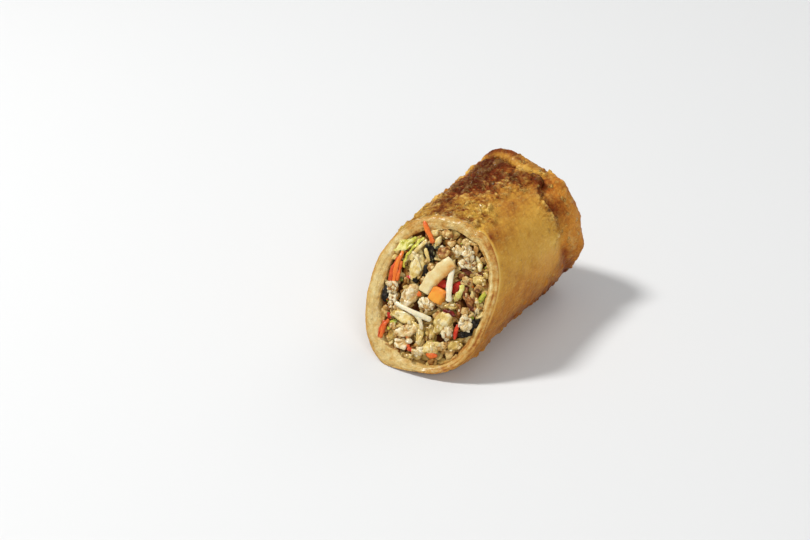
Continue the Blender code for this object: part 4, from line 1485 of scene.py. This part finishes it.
def scatter_tree():
    """Geometry Nodes: uneven bits of a size scattered over a face, each with a tone of its own."""
    inputs = {
        "Geometry": ("Geometry", None),
        "Density": ("Float", 1.0),
        "Long": ("Float", 2 * MM),
        "Wide": ("Float", 1.4 * MM),
        "Thick": ("Float", 1 * MM),
        "Tilt": ("Float", 0.5),
        "Unevenness": ("Float", 0.5 * MM),
        "Seed": ("Int", None),
        "Bits": ("Collection", None),
        "Material": ("Material", None),
    }
    tree, entry, exit_ = group_of("scattered_bits", inputs, {"Geometry": "Geometry"}, "GeometryNodeTree")
    nodes, give = Nodes(tree), entry.outputs

    def drawn(low, high, **more):
        limits = {0: low, 1: high, **more}
        return nodes.add("FunctionNodeRandomValue", limits, data_type="FLOAT_VECTOR").outputs[0]

    mesh = {"Mesh": give["Geometry"], "Density": give["Density"], "Seed": give["Seed"]}
    spread = nodes.add("GeometryNodeDistributePointsOnFaces", mesh, distribute_method="RANDOM")
    picked = {"Collection": give["Bits"], "Separate Children": True}
    bits = nodes.add("GeometryNodeCollectionInfo", picked, transform_space="ORIGINAL")
    sizes = nodes.add("ShaderNodeCombineXYZ", {"X": give["Long"], "Y": give["Wide"], "Z": give["Thick"]})
    vary = drawn((0.55, 0.55, 0.6), (1.35, 1.3, 1.3), Seed=give["Seed"])
    spin = drawn((-1, -1, -HALF_TURN), (1, 1, HALF_TURN))
    tilt = nodes.add("ShaderNodeCombineXYZ", {"X": give["Tilt"], "Y": give["Tilt"], "Z": 1})
    leaned = nodes.vectors("MULTIPLY", {0: spin, 1: tilt.outputs[0]})
    rotation = {0: spread.outputs["Rotation"], 1: leaned}
    turn = nodes.add("FunctionNodeRotateEuler", rotation, rotation_type="EULER", space="LOCAL")
    placed = {
        "Points": spread.outputs["Points"],
        "Instance": bits.outputs["Instances"],
        "Pick Instance": True,
        "Rotation": turn.outputs[0],
        "Scale": nodes.vectors("MULTIPLY", {0: sizes.outputs[0], 1: vary}),
    }
    place = nodes.add("GeometryNodeInstanceOnPoints", placed)
    shade = nodes.add("FunctionNodeRandomValue", {2: 0.3, 3: 0.8}, data_type="FLOAT")
    stored = {"Name": "tone", "Geometry": place.outputs[0], "Value": shade.outputs[1]}
    tone = nodes.add("GeometryNodeStoreNamedAttribute", stored, data_type="FLOAT", domain="INSTANCE")
    real = nodes.add("GeometryNodeRealizeInstances", {0: tone.outputs[0]})
    noise = nodes.add("ShaderNodeTexNoise", {"Scale": 1 / (1.3 * MM), "Detail": 2})
    push = nodes.times(nodes.swing(noise.outputs["Fac"], give["Unevenness"]), 2.0)
    normal = nodes.add("GeometryNodeInputNormal").outputs[0]
    pushed = {"Geometry": real.outputs[0], "Offset": nodes.vectors("SCALE", {0: normal, "Scale": push})}
    shift = nodes.add("GeometryNodeSetPosition", pushed)
    smooth = nodes.add("GeometryNodeSetShadeSmooth", {"Geometry": shift.outputs[0]})
    painted = {"Geometry": smooth.outputs[0], "Material": give["Material"]}
    nodes.put(nodes.add("GeometryNodeSetMaterial", painted).outputs[0], exit_.inputs[0])
    return tree


def chopped_bits():
    """A collection of a few chopped shapes, 1 across, for the tree to pick from."""
    bits = bpy.data.collections.new("chopped_bits")
    for number in range(6):
        spots, faces = chunk((0, 0, 0), (1, 1, 1), 0, 901 + number, rough=0.0, level=3, edge=8)
        piece = new_object("chopped_bit_" + str(number), spots, faces, {})
        bpy.context.scene.collection.objects.unlink(piece)
        bits.objects.link(piece)
    return bits


def made_by(tree, name, points, faces, inputs):
    """The plain mesh object that a Geometry Nodes tree makes from a base mesh."""
    base = new_object(name + "_base", points, faces, {})
    modifier = base.modifiers.new(name, "NODES")
    modifier.node_group = tree
    labels = {item.name: item.identifier for item in tree.interface.items_tree if item.in_out == "INPUT"}
    for label, value in inputs.items():
        modifier[labels[label]] = value
    graph = bpy.context.evaluated_depsgraph_get()
    data = bpy.data.meshes.new_from_object(base.evaluated_get(graph), depsgraph=graph)
    data.name = name
    bpy.data.objects.remove(base)
    piece = bpy.data.objects.new(name, data)
    bpy.context.scene.collection.objects.link(piece)
    return piece


FACE_COLUMNS = 48
FACE_RINGS = 12


def scatter_face(out):
    """A plain face that covers the filling at the cut, out by mm."""
    angle = np.radians(np.linspace(0, 360, FACE_COLUMNS, endpoint=False))
    radius = cup_radius(angle) - 0.4 * MM
    rings = []
    for share in np.linspace(1, 0.1, FACE_RINGS):
        x, rise = share * radius * np.cos(angle), share * radius * np.sin(angle)
        spots = np.stack([x / MM, rise / MM / math.cos(CUT_LEAN), 0 * x + out], axis=-1)
        spots[..., 2] += 0.5 * layered_noise(spots, 4.0, 95)
        rings.append(on_cut(spots))
    points = np.vstack([np.concatenate(rings), [rings[-1].mean(axis=0)]])
    faces = grid_faces(FACE_RINGS, FACE_COLUMNS)
    first, last = (FACE_RINGS - 1) * FACE_COLUMNS, len(points) - 1
    faces += [(first + i, first + (i + 1) % FACE_COLUMNS, last) for i in range(FACE_COLUMNS)]
    a, b, c = points[list(faces[0][:3])]
    facing = np.dot(np.cross(b - a, c - a), OUTWARDS)
    return points, faces if facing > 0 else [face[::-1] for face in faces]


def outward_faces(names):
    """The faces of finished pieces that look out of the cut, for small crumbs to lie on."""
    points, faces = [], []
    for name in names:
        data = bpy.data.objects[name].data
        spots = np.empty(3 * len(data.vertices))
        data.vertices.foreach_get("co", spots)
        facing = np.empty(3 * len(data.polygons))
        data.polygons.foreach_get("normal", facing)
        outwards = facing.reshape(-1, 3) @ OUTWARDS > 0.5
        first = sum(len(part) for part in points)
        points.append(spots.reshape(-1, 3))
        chosen = [face for face, out in zip(data.polygons, outwards) if out]
        faces.extend([first + corner for corner in face.vertices] for face in chosen)
    return np.vstack(points), faces


def build_crumbs(settings):
    """The bits scattered over the core, and the loose ones on the larger pieces."""
    below = scatter_face(CORE_FRONT + 1.2)
    above = outward_faces(("chicken", "mushrooms", "cabbage"))
    tree, bits = scatter_tree(), chopped_bits()
    for name, density, long, wide, thick, tilt, seed in CRUMBS:
        points, faces = above if name == "loose_crumbs" else below
        inputs = {
            "Density": density * 1e4,
            "Long": long * MM,
            "Wide": wide * MM,
            "Thick": thick * MM,
            "Tilt": tilt,
            "Unevenness": 0.9 * thick * MM,
            "Seed": seed,
            "Bits": bits,
            "Material": food_material(name, settings),
        }
        piece = made_by(tree, name, points, faces, inputs)
        finish_piece(piece, None, "filling")
    for piece in list(bits.objects):
        bpy.data.objects.remove(piece)
    bpy.data.collections.remove(bits)


# The stage

CAMERA_TURN = 0.553
CAMERA_RISE = math.radians(30.5)
CAMERA_DISTANCE = 0.6435
CAMERA_AIM = (-33.4 * MM, 39.2 * MM, 0.0)
CAMERA_LENS = 85  # mm
FLOOR_REACH = 3.0


def build_stage(settings):
    scene = bpy.context.scene
    scene.view_settings.view_transform = "Standard"
    aim = Vector(CAMERA_AIM) + Vector(SHIFT)
    level = math.cos(CAMERA_RISE)
    back = Vector((math.sin(CAMERA_TURN) * level, -math.cos(CAMERA_TURN) * level, math.sin(CAMERA_RISE)))
    camera = bpy.data.objects.new("camera", bpy.data.cameras.new("camera"))
    camera.data.lens = CAMERA_LENS
    camera.data.clip_start = 0.01
    camera.location = aim + back * CAMERA_DISTANCE
    camera.rotation_euler = back.to_track_quat("Z", "Y").to_euler()
    scene.collection.objects.link(camera)
    scene.camera = camera
    floor_corners = FLOOR_REACH * np.array([(-1, -1, 0), (1, -1, 0), (1, 1, 0), (-1, 1, 0)])
    floor = new_object("floor", floor_corners, [(0, 1, 2, 3)], {})
    material, nodes, surface = new_material("pale_floor")
    shaded = tuple(0.985 * value for value in settings.floor)
    tint = nodes.mix(nodes.noise(nodes.here(), 0.4), tuple(settings.floor), shaded)
    nodes.put(tint, surface.inputs["Base Color"])
    surface.inputs["Roughness"].default_value = 0.6
    floor.data.materials.append(material)
    for name, place, size, power in (
        ("key", (-0.6, -0.2, 0.9), 0.2, settings.key_light),
        ("fill", (0.75, -0.75, 0.65), 0.5, settings.fill_light),
        ("back", (0.1, 0.9, 0.7), 0.7, settings.back_light),
    ):
        lamp = bpy.data.lights.new(name, "AREA")
        lamp.shape = "DISK"
        lamp.size = size
        lamp.energy = power
        light = bpy.data.objects.new(name, lamp)
        light.location = place
        light.rotation_euler = Vector(place).to_track_quat("Z", "Y").to_euler()
        light.visible_glossy = name != "back"
        scene.collection.objects.link(light)
    world = bpy.data.worlds.new("studio")
    world.use_nodes = True
    world.node_tree.nodes["Background"].inputs["Color"].default_value = (0.95, 0.97, 1.0, 1)
    world.node_tree.nodes["Background"].inputs["Strength"].default_value = settings.sky_light
    scene.world = world


# The add-on


def colour_property(name, description, numbers):
    return FloatVectorProperty(
        name=name, description=description, subtype="COLOR", size=3, min=0, max=1, default=srgb(*numbers)
    )


def amount_property(name, description, default, **limits):
    return FloatProperty(name=name, description=description, default=default, min=0, **limits)


class CrustSettings(bpy.types.PropertyGroup):
    """Colours and relief of the fried wrapper."""

    relief: amount_property("Relief", "Height of the blisters, 1 as fried", 1.0, max=2)
    palest: colour_property("Palest crust", "Where the crust is hardly fried", (226, 186, 96))
    pale: colour_property("Pale crust", "Lightly fried crust", (214, 166, 76))
    golden: colour_property("Golden crust", "The smooth side", (202, 149, 60))
    brown: colour_property("Brown crust", "Well fried crust", (174, 116, 44))
    # The dark colour is also painted into the blisters' pits as shade, and the darkest colour into the
    # crease's painted shade.
    dark: colour_property("Dark crust", "Along the folds", (122, 58, 20))
    darkest: colour_property("Darkest crust", "In pits and creases", (80, 30, 8))
    # The tip colour is also painted on blisters and streaks as glints.
    blister_tip: colour_property("Blister tips", "The tops of small blisters", (240, 200, 102))
    dough: colour_property("Dough", "The soft dough at the cut", (200, 166, 100))


class FillingSettings(bpy.types.PropertyGroup):
    """Colours of what fills the roll."""

    chicken: colour_property("Chicken", "The palest minced chicken", (229, 215, 180))
    cabbage: colour_property("Cabbage", "The palest ribs", (222, 207, 159))
    greens: colour_property("Greens", "Leaf edges", (196, 187, 72))
    carrot: colour_property("Carrot", "Carrot strips", (224, 120, 46))
    pepper: colour_property("Pepper", "Red pepper", (186, 50, 30))
    sprout: colour_property("Sprouts", "Bean sprouts", (236, 229, 204))


class StageSettings(bpy.types.PropertyGroup):
    """Floor and lights."""

    floor: colour_property("Floor", "The pale floor", (214, 214, 213))
    key_light: amount_property("Key light", "Power of the main light in watts", 11.0)
    fill_light: amount_property("Fill light", "Power of the fill light in watts", 5.6)
    back_light: amount_property("Back light", "Power of the back light in watts", 3.0)
    sky_light: amount_property("Sky light", "Strength of the even light", 0.32)


def run_builders(settings, *builders):
    """Runs an operator's builders; what goes wrong is raised, as a cancelled operator would be missed."""
    for builder in builders:
        builder(settings)
    return {"FINISHED"}


class SPRINGROLL_OT_wrapper(bpy.types.Operator):
    """Build the fried wrapper with its cut rim"""

    bl_idname = "springroll.wrapper"
    bl_label = "Wrapper"

    def execute(self, context):
        return run_builders(context.scene.springroll_crust, build_wrapper)


class SPRINGROLL_OT_core(bpy.types.Operator):
    """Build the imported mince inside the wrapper"""

    bl_idname = "springroll.core"
    bl_label = "Filling core"

    def execute(self, context):
        return run_builders(context.scene.springroll_filling, build_core)


class SPRINGROLL_OT_chicken(bpy.types.Operator):
    """Build the lumps of minced chicken"""

    bl_idname = "springroll.chicken"
    bl_label = "Chicken"

    def execute(self, context):
        return run_builders(context.scene.springroll_filling, build_chicken)


class SPRINGROLL_OT_mushrooms(bpy.types.Operator):
    """Build the mushroom pieces and the dark wood ear"""

    bl_idname = "springroll.mushrooms"
    bl_label = "Mushrooms and wood ear"

    def execute(self, context):
        return run_builders(context.scene.springroll_filling, build_mushrooms, build_wood_ear)


class SPRINGROLL_OT_cabbage(bpy.types.Operator):
    """Build the cabbage ribs and the green leaf bits"""

    bl_idname = "springroll.cabbage"
    bl_label = "Cabbage and greens"

    def execute(self, context):
        return run_builders(context.scene.springroll_filling, build_cabbage, build_greens)


class SPRINGROLL_OT_vegetables(bpy.types.Operator):
    """Build the carrot, pepper, sprouts and bamboo shoot"""

    bl_idname = "springroll.vegetables"
    bl_label = "Carrot, pepper and sprouts"

    def execute(self, context):
        builders = build_carrot, build_pepper, build_sprouts, build_wedge
        return run_builders(context.scene.springroll_filling, *builders)


class SPRINGROLL_OT_crumbs(bpy.types.Operator):
    """Scatter crumbs, shreds and flecks between the larger pieces"""

    bl_idname = "springroll.crumbs"
    bl_label = "Crumbs and shreds"

    def execute(self, context):
        return run_builders(context.scene.springroll_filling, build_crumbs)


class SPRINGROLL_OT_stage(bpy.types.Operator):
    """Set up the floor, lights and camera"""

    bl_idname = "springroll.stage"
    bl_label = "Stage"

    def execute(self, context):
        return run_builders(context.scene.springroll_stage, build_stage)


class SPRINGROLL_PT_panel(bpy.types.Panel):
    """Lists the builders and their settings"""

    bl_idname = "SPRINGROLL_PT_panel"
    bl_label = "Spring roll"
    bl_space_type = "VIEW_3D"
    bl_region_type = "UI"
    bl_category = "Spring roll"

    def draw(self, context):
        for operator in OPERATORS:
            self.layout.operator(operator.bl_idname)
        for name in SETTINGS:
            group = getattr(context.scene, name)
            box = self.layout.box()
            for key in group.__annotations__:
                box.prop(group, key)


OPERATORS = (
    SPRINGROLL_OT_wrapper,
    SPRINGROLL_OT_core,
    SPRINGROLL_OT_chicken,
    SPRINGROLL_OT_mushrooms,
    SPRINGROLL_OT_cabbage,
    SPRINGROLL_OT_vegetables,
    SPRINGROLL_OT_crumbs,
    SPRINGROLL_OT_stage,
)
SETTINGS = {
    "springroll_crust": CrustSettings,
    "springroll_filling": FillingSettings,
    "springroll_stage": StageSettings,
}


def register():
    for group in (*SETTINGS.values(), *OPERATORS, SPRINGROLL_PT_panel):
        bpy.utils.register_class(group)
    for name, group in SETTINGS.items():
        setattr(bpy.types.Scene, name, PointerProperty(type=group))


def unregister():
    for name in SETTINGS:
        delattr(bpy.types.Scene, name)
    for group in (SPRINGROLL_PT_panel, *OPERATORS, *SETTINGS.values()):
        bpy.utils.unregister_class(group)


def corners(bounds):
    return [[float(value) for value in corner] for corner in bounds]


def main():
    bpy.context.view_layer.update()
    register()
    for operator in OPERATORS:
        group, name = operator.bl_idname.split(".")
        getattr(getattr(bpy.ops, group), name)()


if __name__ == "__main__":
    main()
